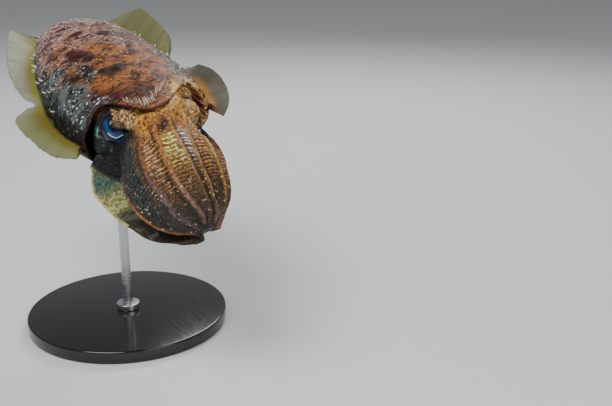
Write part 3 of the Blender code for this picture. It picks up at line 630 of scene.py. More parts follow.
class Finish:
    """A Principled material, whose methods each give the output of a node they add.

    Values that nothing is linked to are set on the shader's own sockets.
    """

    def __init__(self, name, roughness, coat=0.0, metallic=0.0, subsurface=0.0, specular=0.5):
        self.material = bpy.data.materials.new(name)
        self.material.use_nodes = True
        self.shader = self.material.node_tree.nodes["Principled BSDF"]
        for key, value in (
            ("Roughness", roughness), ("Metallic", metallic), ("Specular IOR Level", specular),
            ("Coat Weight", coat), ("Coat Roughness", 0.12), ("Subsurface Weight", subsurface),
            ("Subsurface Scale", 0.004),
        ):
            self.shader.inputs[key].default_value = value

    def add(self, kind, inputs, output=0, **settings):
        """Adds a node with its settings, its values and its links."""
        made = self.material.node_tree.nodes.new("ShaderNode" + kind)
        for key, value in settings.items():
            setattr(made, key, value)
        for key, value in inputs.items():
            if isinstance(value, bpy.types.NodeSocket):
                self.material.node_tree.links.new(value, made.inputs[key])
            else:
                made.inputs[key].default_value = value
        return made.outputs[output]

    def link(self, **sockets):
        """Links the shader's inputs, named with _ for a space, and gives the material."""
        for key, value in sockets.items():
            self.material.node_tree.links.new(value, self.shader.inputs[key.replace("_", " ")])
        return self.material

    def where(self):
        return self.add("TexCoord", {}, "Object")

    def read(self, name, output="Fac"):
        return self.add("Attribute", {}, output, attribute_name=name)

    def tones(self):
        """The dark and light colours that are kept at each point."""
        return self.read("deep", "Color"), self.read("bright", "Color")

    def mix(self, factor, *colours):
        """The second colour over the first, where either may be a hex colour or a socket."""
        first, second = ((*from_hex(c), 1.0) if isinstance(c, str) else c for c in colours)
        return self.add("Mix", {0: factor, 6: first, 7: second}, 2, data_type="RGBA")

    def layered(self, colour, *layers):
        """A colour with one mask and tone after another laid over it."""
        for mask, tone in layers:
            colour = self.mix(self.read(mask) if isinstance(mask, str) else mask, colour, tone)
        return colour

    def crossed(self, factor, first, second):
        """A number between two others."""
        return self.add("Mix", {0: factor, 2: first, 3: second}, data_type="FLOAT")

    def ramp(self, value, low, high, start=0.0, end=1.0, kind="SMOOTHSTEP"):
        """A value spread from start at low to end at high."""
        inputs = {"Value": value, "From Min": low, "From Max": high}
        inputs.update({"To Min": start, "To Max": end})
        return self.add("MapRange", inputs, "Result", interpolation_type=kind)

    def maths(self, operation, first, second):
        return self.add("Math", {0: first, 1: second}, operation=operation)

    def times(self, *values):
        """Several masks multiplied with each other."""
        product = values[0]
        for value in values[1:]:
            product = self.maths("MULTIPLY", product, value)
        return product

    def stretch(self, vector, *scale):
        return self.add("VectorMath", {0: vector, 1: scale}, operation="MULTIPLY")

    def shake(self, vector, size, amount):
        """A vector moved about by soft noise, so that a regular pattern on it wanders."""
        inputs = {"Vector": vector, "Scale": 1 / size, "Detail": 2.0}
        noise = self.add("TexNoise", inputs, "Color")
        centred = self.add("VectorMath", {0: noise, 1: (0.5,) * 3}, operation="SUBTRACT")
        inputs = {0: centred, 1: (amount,) * 3, 2: vector}
        return self.add("VectorMath", inputs, operation="MULTIPLY_ADD")

    def bump(self, height, strength, distance):
        inputs = {"Height": height, "Strength": strength, "Distance": distance}
        return self.add("Bump", inputs, "Normal")

    def noise(self, vector, size, detail=3.0, roughness=0.55):
        inputs = {"Vector": vector, "Scale": 1 / size, "Detail": detail, "Roughness": roughness}
        return self.add("TexNoise", inputs, "Fac")

    def plain_noise(self, vector, size, detail=3.0):
        return self.noise(vector, size, detail, 0.5)

    def cells(self, vector, spacing):
        """How far each place is from the middle of its cell in a random net."""
        inputs = {"Vector": vector, "Scale": 1 / spacing}
        return self.add("TexVoronoi", inputs, "Distance", feature="F1")

    def bands(self, vector, spacing, distortion):
        """Wavy bands across the vector's first axis, the given distance apart."""
        inputs = {"Vector": vector, "Scale": 2 * math.pi / 20 / spacing}
        inputs.update({"Distortion": distortion, "Detail": 3.0, "Detail Scale": 2.0})
        return self.add("TexWave", inputs, "Fac", wave_type="BANDS", bands_direction="X")

    def specks(self, vector, spacing, size, share):
        """Small round spots in a share of the cells of a random net."""
        distance = self.cells(vector, spacing)
        random = self.add("SeparateColor", {"Color": distance.node.outputs["Color"]}, "Red")
        near = self.ramp(distance, size, size * 0.55)
        return self.times(near, self.ramp(random, 1 - share, 1 - share + 0.1))

    def curls(self, vector, size, width):
        """Thin curly lines, where soft noise passes its middle value."""
        centred = self.maths("SUBTRACT", self.noise(vector, size, 1.5), 0.5)
        return self.ramp(self.maths("ABSOLUTE", centred, 0.0), width, width * 0.3)


def mantle_skin_material():
    """Wet cuttlefish skin: mottled colour sacs under pale curls and small white flecks.

    The flecks are partly the skin's own white specks and partly painted glints of light on
    the wet back. The curls and flecks are 1 to 4 mm in size, which makes the back look
    frayed and glittering rather than painted.
    """
    skin = Finish("wet_mantle_skin", 0.55, coat=0.03, subsurface=0.03, specular=0.2)
    place = skin.read("place", "Vector")
    deep, bright = skin.tones()
    wandering = skin.shake(place, 0.014, 0.020)
    streaks = skin.bands(skin.stretch(wandering, 1.0, 0.35, 0.35), 0.0040, 7.0)
    drawn_out = skin.stretch(wandering, 1.0, 0.6, 0.6)
    fine = skin.noise(drawn_out, 0.0030, 5.0, 0.72)
    patch = skin.noise(place, 0.011, 2.0)
    both = skin.maths("ADD", skin.times(streaks, 0.10), skin.times(fine, 0.50))
    both = skin.maths("ADD", both, skin.times(patch, 0.40))
    curls = skin.curls(drawn_out, 0.0030, 0.055)
    thread = skin.times(curls, skin.ramp(fine, 0.44, 0.56), skin.read("thread"))
    # White flecks: partly the skin's own specks, partly painted glints on the wet back
    fleck_place = skin.stretch(skin.shake(place, 0.006, 0.003), 1.0, 0.7, 0.7)
    flecks = skin.times(skin.specks(fleck_place, 0.0030, 0.36, 0.40), skin.read("frost"))
    # The inside of the opening: long streaks that run along the wall
    wall = skin.noise(skin.stretch(place, 0.2, 1.0, 1.0), 0.0028)
    inside = skin.layered(
        skin.mix(skin.ramp(wall, 0.44, 0.56), deep, bright),
        (skin.times(skin.ramp(wall, 0.57, 0.63), skin.read("thread")), "#fbf4f8"),
        # Painted shade that darkens the opening deep inside
        ("depth", "#120808"),
    )
    # Fins: an olive root fades to a thin grey sheet with faint rays and a few dark specks
    rays = skin.noise(skin.stretch(place, 1.0, 0.12, 0.12), 0.006)
    fin = skin.layered(
        skin.read("fin_tone", "Color"),
        (skin.times(skin.ramp(rays, 0.45, 0.80), 0.16), "#4f4a20"),
        (skin.times(skin.specks(place, 0.012, 0.10, 0.7), 0.55), "#3a2a12"),
    )
    colour = skin.layered(
        skin.mix(skin.ramp(both, 0.44, 0.57), deep, bright),
        (thread, skin.mix(skin.read("pale"), "#dc9c54", "#e6d6cc")),
        (flecks, "#f4eee6"),
        ("bump_top", "#efe6d8"),
        ("inner", inside),
        ("margin", "#34131c"),
        ("fin", fin),
    )
    height = skin.times(both, skin.read("rough"))
    return skin.link(Base_Color=colour, Normal=skin.bump(height, 0.9, 0.0016))


def head_skin_material():
    """Wet skin of head and arms: pale curls on gold, red keels, and broken pale bars.

    The bars stand about 2.7 mm apart and fade into specks towards the tips, which keeps
    the arms from looking like plain tubes.
    """
    skin = Finish("wet_head_skin", 0.46, coat=0.10, subsurface=0.03, specular=0.35)
    place = skin.read("place", "Vector")
    fine = skin.noise(place, 0.0026, 3.0, 0.6)
    curls = skin.curls(skin.shake(place, 0.004, 0.004), 0.0030, 0.075)
    broken = skin.noise(skin.stretch(place, 1.0, 1.6, 1.0), 0.0040, 2.0)
    ground = skin.times(skin.ramp(fine, 0.36, 0.64), 0.42)
    pattern = skin.maths("MAXIMUM", skin.times(curls, skin.ramp(broken, 0.36, 0.52)), ground)
    bands = skin.bands(skin.shake(skin.read("bars", "Vector"), 0.006, 0.0050), 0.0027, 1.7)
    bar = skin.times(skin.ramp(bands, 0.56, 0.82), skin.ramp(broken, 0.38, 0.50))
    arm = skin.maths(
        "MAXIMUM", skin.times(bar, skin.read("bar")), skin.times(ground, 0.62)
    )
    pattern = skin.crossed(skin.read("arm"), pattern, arm)
    pattern = skin.crossed(skin.read("smooth"), pattern, skin.ramp(fine, 0.22, 0.78))
    speck = skin.specks(skin.shake(place, 0.004, 0.003), 0.0024, 0.30, 0.40)
    web_place = skin.shake(skin.read("web_place", "Vector"), 0.006, 0.004)
    rays = skin.bands(skin.stretch(web_place, 1.0, 0.4, 1.0), 0.0026, 4.0)
    ray = skin.times(
        skin.ramp(rays, 0.55, 0.85), skin.ramp(fine, 0.44, 0.54), skin.read("web_streak")
    )
    colour = skin.layered(
        skin.mix(pattern, *skin.tones()),
        (skin.times(speck, skin.read("speckle")), "#e8d7a8"),
        (ray, "#d6cf8a"),
    )
    height = skin.maths("ADD", skin.times(pattern, 0.8), fine)
    return skin.link(Base_Color=colour, Normal=skin.bump(height, 0.7, 0.0012))


def eye_material():
    """A wet cornea over a black eye with a deep blue iris crescent."""
    eye = Finish("wet_eye", 0.16, coat=0.25, specular=0.3)
    fine = eye.noise(eye.read("place", "Vector"), 0.0016)
    blue = eye.mix(eye.ramp(fine, 0.35, 0.65), "#010316", "#051642")
    iris = eye.layered(blue, ("bright", "#1c5c9c"))
    # The pale-blue line is a painted highlight on the iris
    colour = eye.layered(eye.mix(eye.read("iris"), "#010204", iris), ("line", "#b4d4ec"))
    return eye.link(Base_Color=colour, Normal=eye.bump(fine, 0.08, 0.0003))


def cone_material():
    """Skin cones that rise brown from the skin to pale unpigmented tips."""
    skin = Finish("papilla_skin", 0.45, coat=0.08, subsurface=0.08)
    mottle = skin.noise(skin.where(), 0.0016)
    low = skin.mix(skin.ramp(mottle, 0.40, 0.60), "#3a2418", "#8a6a4c")
    high = skin.mix(skin.ramp(mottle, 0.35, 0.60), "#c9b292", "#f3ebdc")
    colour = skin.layered(low, ("tip", high))
    return skin.link(Base_Color=colour, Normal=skin.bump(mottle, 0.4, 0.0004))


def sucker_material():
    """Soft unpigmented skin of the suckers, a little see-through at their rims."""
    skin = Finish("sucker_skin", 0.40, coat=0.1, subsurface=0.15)
    mottle = skin.noise(skin.where(), 0.0015)
    colour = skin.mix(skin.ramp(mottle, 0.35, 0.65), "#a48c74", "#d9cbb8")
    return skin.link(Base_Color=colour, Normal=skin.bump(mottle, 0.4, 0.0005))


def funnel_material():
    """Thin muscular skin of the funnel: cream, with small brown colour sacs."""
    skin = Finish("funnel_skin", 0.42, coat=0.12, subsurface=0.10)
    mottle = skin.plain_noise(skin.where(), 0.004)
    dots = skin.ramp(skin.cells(skin.where(), 0.0022), 0.30, 0.12)
    colour = skin.mix(skin.ramp(mottle, 0.35, 0.65), "#6d5340", "#a08a70")
    colour = skin.layered(colour, (dots, "#4a2a1c"))
    return skin.link(Base_Color=colour, Normal=skin.bump(mottle, 0.5, 0.0006))


def acrylic_material():
    """Cast black acrylic: deep gloss with the faintest dust and hairline scratches."""
    acrylic = Finish("cast_black_acrylic", 0.12, coat=0.3)
    dust = acrylic.plain_noise(acrylic.where(), 0.0012, 4.0)
    along_grain = acrylic.stretch(acrylic.where(), 1.0, 0.03, 1.0)
    hairs = acrylic.plain_noise(along_grain, 0.0011, 2.0)
    colour = acrylic.mix(acrylic.ramp(dust, 0.60, 0.80), "#0b0b0d", "#1c1c1f")
    rough = acrylic.ramp(hairs, 0.3, 0.8, 0.10, 0.24, "LINEAR")
    return acrylic.link(Base_Color=colour, Roughness=rough)


def steel_material():
    """Drawn stainless rod: fine grinding rings round its axis."""
    steel = Finish("brushed_stainless_steel", 0.28, metallic=1.0)
    rings = steel.plain_noise(steel.stretch(steel.where(), 0.05, 0.05, 1.0), 0.0006)
    return steel.link(
        Base_Color=steel.mix(rings, "#a9abad", "#c9cbcc"),
        Roughness=steel.ramp(rings, 0.3, 0.7, 0.22, 0.38, "LINEAR"),
        Normal=steel.bump(rings, 0.15, 0.0002),
    )


def paper_material():
    """Matt studio paper under the model."""
    paper = Finish("pale_studio_paper", 0.9)
    grain = paper.plain_noise(paper.where(), 0.004)
    colour = paper.mix(grain, "#d5d6d6", "#dadbdb")
    return paper.link(Base_Color=colour, Normal=paper.bump(grain, 0.05, 0.0004))


class CuttlefishSettings(bpy.types.PropertyGroup):
    """Sizes and colours that a user may change before building the model."""

    papilla_height: bpy.props.FloatProperty(
        name="Papilla Height", description="Height of the tallest skin cones",
        default=0.0055, min=0.0, unit="LENGTH",
    )
    skin_voxel: bpy.props.FloatProperty(
        name="Skin Grain", description="Edge of the faces of the head's joined skin",
        default=0.0009, min=0.0006, unit="LENGTH",
    )
    skin_bumps: bpy.props.IntProperty(
        name="Skin Bumps", description="Number of small raised flecks on the mantle",
        default=900, min=0,
    )
    fin_root: bpy.props.FloatVectorProperty(
        name="Fin Root", description="Colour of the fins next to the mantle",
        subtype="COLOR", size=3, min=0.0, max=1.0, default=from_hex("#7c7a20"),
    )
    fin_outer: bpy.props.FloatVectorProperty(
        name="Fin Sheet", description="Colour of the fins' thin outer part",
        subtype="COLOR", size=3, min=0.0, max=1.0, default=from_hex("#8c8b74"),
    )
    lamp_power: bpy.props.FloatProperty(
        name="Lamp Power", description="Power of the main soft lamp",
        default=30.0, min=0.0, unit="POWER",
    )


BACK_COLUMNS = 150
BELLY_COLUMNS = 50
FIN_COLUMNS = 24
MANTLE_STATIONS = 250
LIP_RINGS = 6
LIP_ROLL = 0.0013
INNER_RINGS = 14
INNER_END = -0.028
# Points closer than this are merged where a skin's rings meet
SKIN_MERGE = 0.00002


def mantle_skin_grid():
    """The mantle with both fins as one closed grid of points, with what each point is."""
    even = np.linspace(0.0, 1.0, MANTLE_STATIONS)
    fin_ends = [FIN_TAIL_SHARE - 1e-5, FIN_TAIL_SHARE, FIN_FRONT_SHARE, FIN_FRONT_SHARE + 1e-5]
    shares = np.unique(np.concatenate([0.0002 + 0.9998 * even**1.25, fin_ends]))
    plain = np.zeros_like(shares)
    inside = in_fin(shares)
    steps = np.arange(1, FIN_COLUMNS + 1) / FIN_COLUMNS
    columns = []

    def keep(points, angle, reach=0.0):
        columns.append((points, plain + angle, plain + reach))

    for angle in np.linspace(0.0, math.pi, BACK_COLUMNS):
        keep(mantle_point(shares, angle), angle)
    for side, base in ((-1, math.pi), (1, 2 * math.pi)):
        if side > 0:
            for angle in np.linspace(math.pi, 2 * math.pi, BELLY_COLUMNS):
                below = mantle_point(shares, angle)
                if angle in (math.pi, 2 * math.pi):
                    below[:, 2] = -root_half_height(shares)
                keep(below, angle)
        out, back = fin_faces(shares, side, FIN_COLUMNS)[::-side]
        for points, reach in zip(out + back[::-1], [*steps, *steps[::-1]]):
            keep(points, base, np.where(inside, reach, 0.0))
    return (*(np.stack(kind, axis=1) for kind in zip(*columns)), shares)


def margin_rings(outer):
    """Rings that roll the front margin over its lip and run back inside the opening."""
    middle = outer.mean(axis=0)
    inward = (middle - outer) * (0, 1, 1)
    inward /= np.linalg.norm(inward, axis=1, keepdims=True) + 1e-9
    inner = outer + inward * LIP_THICKNESS
    rings = []
    for turn in np.linspace(0.0, math.pi, LIP_RINGS + 1)[1:]:
        ring = (outer + inner) / 2 + (outer - inner) / 2 * math.cos(turn)
        ring[:, 0] += LIP_ROLL * math.sin(turn)
        rings.append(ring)
    depths = np.arange(1, INNER_RINGS + 1) / INNER_RINGS
    for share in depths:
        ring = inner.copy()
        ring[:, 0] = inner[:, 0] * (1 - share) + INNER_END * share
        ring[:, 1:] = middle[1:] + (inner[:, 1:] - middle[1:]) * (1 - 0.07 * share)
        rings.append(ring)
    return rings, [0.0] * LIP_RINGS + list(depths)


# Dark blotches: share of the mantle's length, angle round it from the left, and size
MANTLE_BLOTCHES = (
    (0.805, 95, 0.0120), (0.64, 108, 0.0110), (0.70, 104, 0.0085), (0.60, 112, 0.0060),
    (0.46, 98, 0.0060), (0.52, 76, 0.0065), (0.74, 70, 0.0075), (0.34, 104, 0.0060),
)


def zoned(count, ground, *zones):
    """Dark and light colours at each point: the ground's, painted over zone after zone."""
    tones = [np.tile(linear(tone), (count, 1)) for tone in ground]
    for mask, *colours in zones:
        weight = np.clip(mask, 0.0, 1.0)[:, None]
        tones = [tone + (linear(new) - tone) * weight for tone, new in zip(tones, colours)]
    return tones


def linear(colour):
    return np.array(from_hex(colour) if isinstance(colour, str) else colour)


def bump_centres(count):
    """Seats of the small raised flecks over the mantle's back and sides."""
    values = np.random.default_rng(11)
    shares = values.uniform(0.04, 0.985, count)
    up = np.radians(values.uniform(3.0, 177.0, count))
    heights = values.uniform(0.25, 1.0, count) ** 2 * 0.0012 + 0.0002
    sizes = values.uniform(0.0007, 0.0011, count)
    return mantle_point(shares, up), heights, sizes


class CUTTLEFISH_OT_mantle_skin(bpy.types.Operator):
    """Make the skin of the mantle and both fins as one sheet"""

    bl_idname = "cuttlefish.mantle_skin"
    bl_label = "Mantle and Fins"

    def execute(self, context):
        settings = context.scene.cuttlefish
        grid, angles, reaches, shares = mantle_skin_grid()
        rings, depths = margin_rings(grid[-1])
        around, extra = grid.shape[1], len(rings)
        points, faces = closed_rings(np.concatenate([grid, rings]))
        nothing = np.zeros(angles.size)

        def spread(on_grid, on_rings, at_caps=(0.0, 1.0)):
            return np.concatenate([on_grid, on_rings, at_caps]).astype(float)

        piece = add_piece("mantle_skin", (points, faces))
        self.shape_and_colour(
            piece, points, settings,
            share=spread(np.repeat(shares, around), np.ones(extra * around)),
            angle=spread(angles.ravel(), np.tile(angles[-1], extra), (0.0, 0.0)),
            reach=spread(reaches.ravel(), np.zeros(extra * around), (0.0, 0.0)),
            inner=spread(nothing, np.repeat(np.arange(extra) >= LIP_RINGS // 2, around)),
            depth=spread(nothing, np.repeat(depths, around)),
        )
        recalculate_normals(piece, merge=SKIN_MERGE)
        finish_piece(
            piece, mantle_skin_material(), "mantle_skin", "mantle", "fin_left", "fin_right"
        )
        return {"FINISHED"}

    def shape_and_colour(self, piece, points, settings, share, angle, reach, inner, depth):
        """Raises bumps and folds, and keeps what the material reads at each point.

        Each mask runs from 0 to 1. Masks are laid out by shares of the mantle's length,
        degrees round it from the left, and metres, with some noise at their borders. The sides,
        the belly and the opening's depths are darkened as painted shade, and the white flecks
        are partly painted glints.
        """
        up_deg = np.degrees(np.arcsin(np.clip(np.abs(np.sin(angle)), 0, 1)))
        is_back = np.sin(angle) >= -1e-6
        on_fin = slope(reach, 0.0, 0.10)
        skin = (1 - on_fin) * (1 - inner)
        seats, heights, sizes = bump_centres(settings.skin_bumps)
        raised, tops = np.zeros((2, len(points)))
        order = np.argsort(points[:, 0])
        sorted_x = points[order, 0]
        for seat, height, size in zip(seats, heights, sizes):
            first, last = np.searchsorted(sorted_x, (seat[0] - 0.004, seat[0] + 0.004))
            near = order[first:last]
            offset = points[near] - seat
            distance = np.sqrt(offset[:, 0] ** 2 + (offset[:, 1:] ** 2).sum(axis=1) / 2.2)
            shape = bell(distance, size)
            raised[near] = np.maximum(raised[near], height * shape)
            tops[near] = np.maximum(tops[near], shape * slope(height, 0.0004, 0.0013))
        lumps = soft_noise(points, 0.016, 3) * 0.0009 + soft_noise(points, 0.006, 4) * 0.00045
        lumps += soft_noise(points * (1.0, 0.4, 0.4), 0.0035, 5) * 0.0003
        away = (raised + lumps * is_back + lumps * 0.3 * ~is_back) * skin
        away += soft_noise(points, 0.010, 6) * 0.0003 * on_fin
        raise_skin(piece, points, away)
        store(piece, place=points)
        side = np.where(np.cos(angle) >= 0, 1.0, -1.0)
        # Painted shade: the sides darken to slate, and the belly and lower sides to near-black
        wander = soft_noise(points, 0.020, 8) * 12 + soft_noise(points, 0.007, 9) * 9
        flank_deg = np.where(side < 0, 37.0, 26.0) + 22 * slope(share, 0.45, 0.85)
        flank_shade = ease(flank_deg + 10 - up_deg - wander * 1.3, 0.0, 20.0)
        flank_shade = np.where(is_back, flank_shade, 1.0)
        flank_shade *= 1 - 0.6 * ease(share, 0.30, 0.05)
        low = np.where(is_back, ease(up_deg, 34, 12), 1.0)
        low = low * ease(share, 0.30, 0.75) * flank_shade
        blotch = ease(soft_noise(points, 0.018, 12), 0.25, 0.75) * 0.65 * is_back
        for at_share, at_deg, size in MANTLE_BLOTCHES:
            centre = mantle_point(at_share, math.radians(at_deg))
            distance = np.linalg.norm((points - centre) * (1.0, 0.7, 1.0), axis=1)
            distance += soft_noise(points, 0.006, 14) * 0.003
            blotch = np.maximum(blotch, ease(distance, size, size * 0.45))
        angle_deg = np.degrees(angle)
        band = bell(share - 0.925, 0.030) * bell(angle_deg - 104, 24) * is_back
        purple = ease(share + soft_noise(points, 0.022, 15) * 0.22, 0.78, 0.40)
        crown = ease(share, 0.52, 0.14) * is_back
        collar = bell(share - 1.0, 0.060) * ease(angle_deg, 80, 68) * is_back
        deep, bright = zoned(
            len(points), ("#280d05", "#8e5220"),
            (purple, "#341412", "#96624c"),
            (crown, "#38201c", "#a88474"),
            # Painted shade on the sides, and near-black painted shade low down
            (flank_shade, "#080c0d", "#586260"),
            (low, "#010202", "#0a0e0e"),
            (blotch * (1 - flank_shade), "#120501", "#441c0a"),
            (band, "#200702", "#561e0c"),
            (collar, "#50300c", "#cca058"),
            (inner * (side < 0), "#100504", "#54300e"),
            (inner * (side > 0), "#9c4468", "#ffe060"),
        )
        store(piece, deep=deep, bright=bright, pale=np.maximum(purple, flank_shade))
        thread = 0.32 + 0.20 * purple + 0.15 * crown
        thread = np.clip(thread - band - 0.8 * low - 0.5 * blotch - 0.2 * flank_shade, 0, 1)
        store(piece, thread=np.maximum(thread * is_back * (1 - inner), inner * (side > 0)))
        # White flecks: partly the skin's own specks, partly painted glints
        frost = 0.07 + 0.5 * np.maximum(crown, 0.6 * purple)
        frost = np.maximum(frost, flank_shade * (0.9 - 0.75 * low))
        store(piece, frost=np.clip(frost - 0.5 * blotch - 0.5 * band, 0, 1))
        margin = 0.9 * bell(share - 1.0, 0.0045) * is_back * (1 - inner) * (1 - collar)
        store(piece, bump_top=ease(tops, 0.6, 0.9) * 0.65, margin=margin, inner=inner)
        # Painted shade in the opening: from the lip on the right, only deep inside on the left
        shadowed = np.where(side > 0, slope(depth, 0.6, 1.0), slope(depth, 0, 0.6))
        store(piece, depth=eased(shadowed), fin=on_fin, rough=1 - on_fin * 0.9)
        front = ease(share, 0.58, 0.70)
        root_tone, outer_tone = zoned(
            len(points), (settings.fin_root[:], settings.fin_outer[:]),
            (front * (side < 0), "#6a5f18", "#757850"),
            ((1 - front) * (side > 0), "#5f5c20", "#6e6e4c"),
            (front * (side > 0), "#b07414", "#5c584c"),
        )
        end = 0.75 - 0.20 * front * (side > 0)
        fade = slope((reach + 0.10 * soft_noise(points, 0.012, 17)) / end, 0.13, 1.0)
        fin_tone = root_tone + (outer_tone - root_tone) * eased(fade)[:, None]
        pink = ease(reach, 0.80, 1.0) * bell(share - 0.63, 0.05) * (side > 0)
        fin_tone += (np.array(from_hex("#b86a54")) - fin_tone) * pink[:, None]
        store(piece, fin_tone=fin_tone)


# Angle of each arm's ridge round the dome of arms, at places from the head to the tips
RIDGE_PLACES = (0.030, 0.040, 0.050, 0.060, 0.070, 0.080, 0.090, 0.100, 0.112)
RIDGES = (
    # angles, height, half width, start, then dark and light tones near the head and far out
    ((-8, -10, -13, -16, -17, -18, -16, -12, -5), 0.0022, 0.0018, 0.031,
     ("#5c2408", "#c07c3c"), ("#4a2418", "#c09480")),
    ((10, 10, 10, 10, 10, 10, 11, 13, 18), 0.0012, 0.0009, 0.034,
     ("#6a3c10", "#c09448"), ("#3c2410", "#8c6c44")),
    ((-32, -36, -41, -46, -49, -47, -47, -50, -50), 0.0024, 0.0018, 0.024,
     ("#3c180a", "#8c5634"), ("#2c1c20", "#8c7480")),
    ((47, 38, 31, 27, 24, 23, 25, 27, 40), 0.0016, 0.0012, 0.028,
     ("#6c3c10", "#c49040"), ("#4c3014", "#b4863c")),
    ((-112, -105, -98, -100, -101, -102, -102, -103, -102), 0.0013, 0.0015, 0.036,
     ("#2c1a10", "#74543c"), ("#8c3c0c", "#f09c48")),
    ((80, 73, 66, 61, 56, 54, 55, 60, 72), 0.0020, 0.0010, 0.040,
     ("#6c5c0c", "#d0bc34"), ("#6c4c0c", "#d0a434")),
)
# Where the skin behind the head is raised: how far ahead of the margin that ends, degrees up
# from the side and height at which it starts, and how far it stays below the margin's lip
NECK_LIFT_ENDS = {-1: 0.013, 1: 0.0195}
NECK_LIFT_DEGS = {-1: 18.0, 1: 8.0}
NECK_LIFT_HEIGHTS = {-1: 0.010, 1: 0.0}
NECK_CLEARANCES = {-1: 0.0012, 1: 0.0004}
# Distances in metres between which an eye stops moving the skin round it
EYE_REACHES = {-1: (0.040, 0.030), 1: (0.0235, 0.0180)}
# The same for the colours round it, in radii of the eye
EYE_TINT_REACHES = {-1: (2.2, 1.5), 1: (1.6, 1.2)}
# Where on the head the fold above each wide keel starts, from its root to its edge
WEB_CHEEK_PLACES = {-1: (0.034, 0.001), 1: (0.034, 0.008)}

HEAD_STATIONS = 50
HEAD_COLUMNS = 128
ARM_ROOT_SHARE = -0.06
ARM_STATIONS = 72
PROFILE_STEPS = 4
WEB_STATIONS = 96
WEB_STRIPS = 26
WEB_HALF_EDGE = 0.00085
FOLD_STEPS = 14
FOLD_HALF_THICKNESS = 0.0012
# The fold's angle on the head, from its left side upward, at the web's root and at its edge
FOLD_START_DEG = -32.0
FOLD_END_DEG = -8.0
CORE_STATIONS = 60
CORE_COLUMNS = 48
# Size of the flesh inside the ring of arms, as shares of the ring's, along the arms
CORE_SHARES = (-0.08, 0.05, 0.15, 0.5, 0.8, 0.93, 1.0)
CORE_SIZES = (0.80, 0.78, 0.52, 0.5, 0.66, 0.82, 0.62)


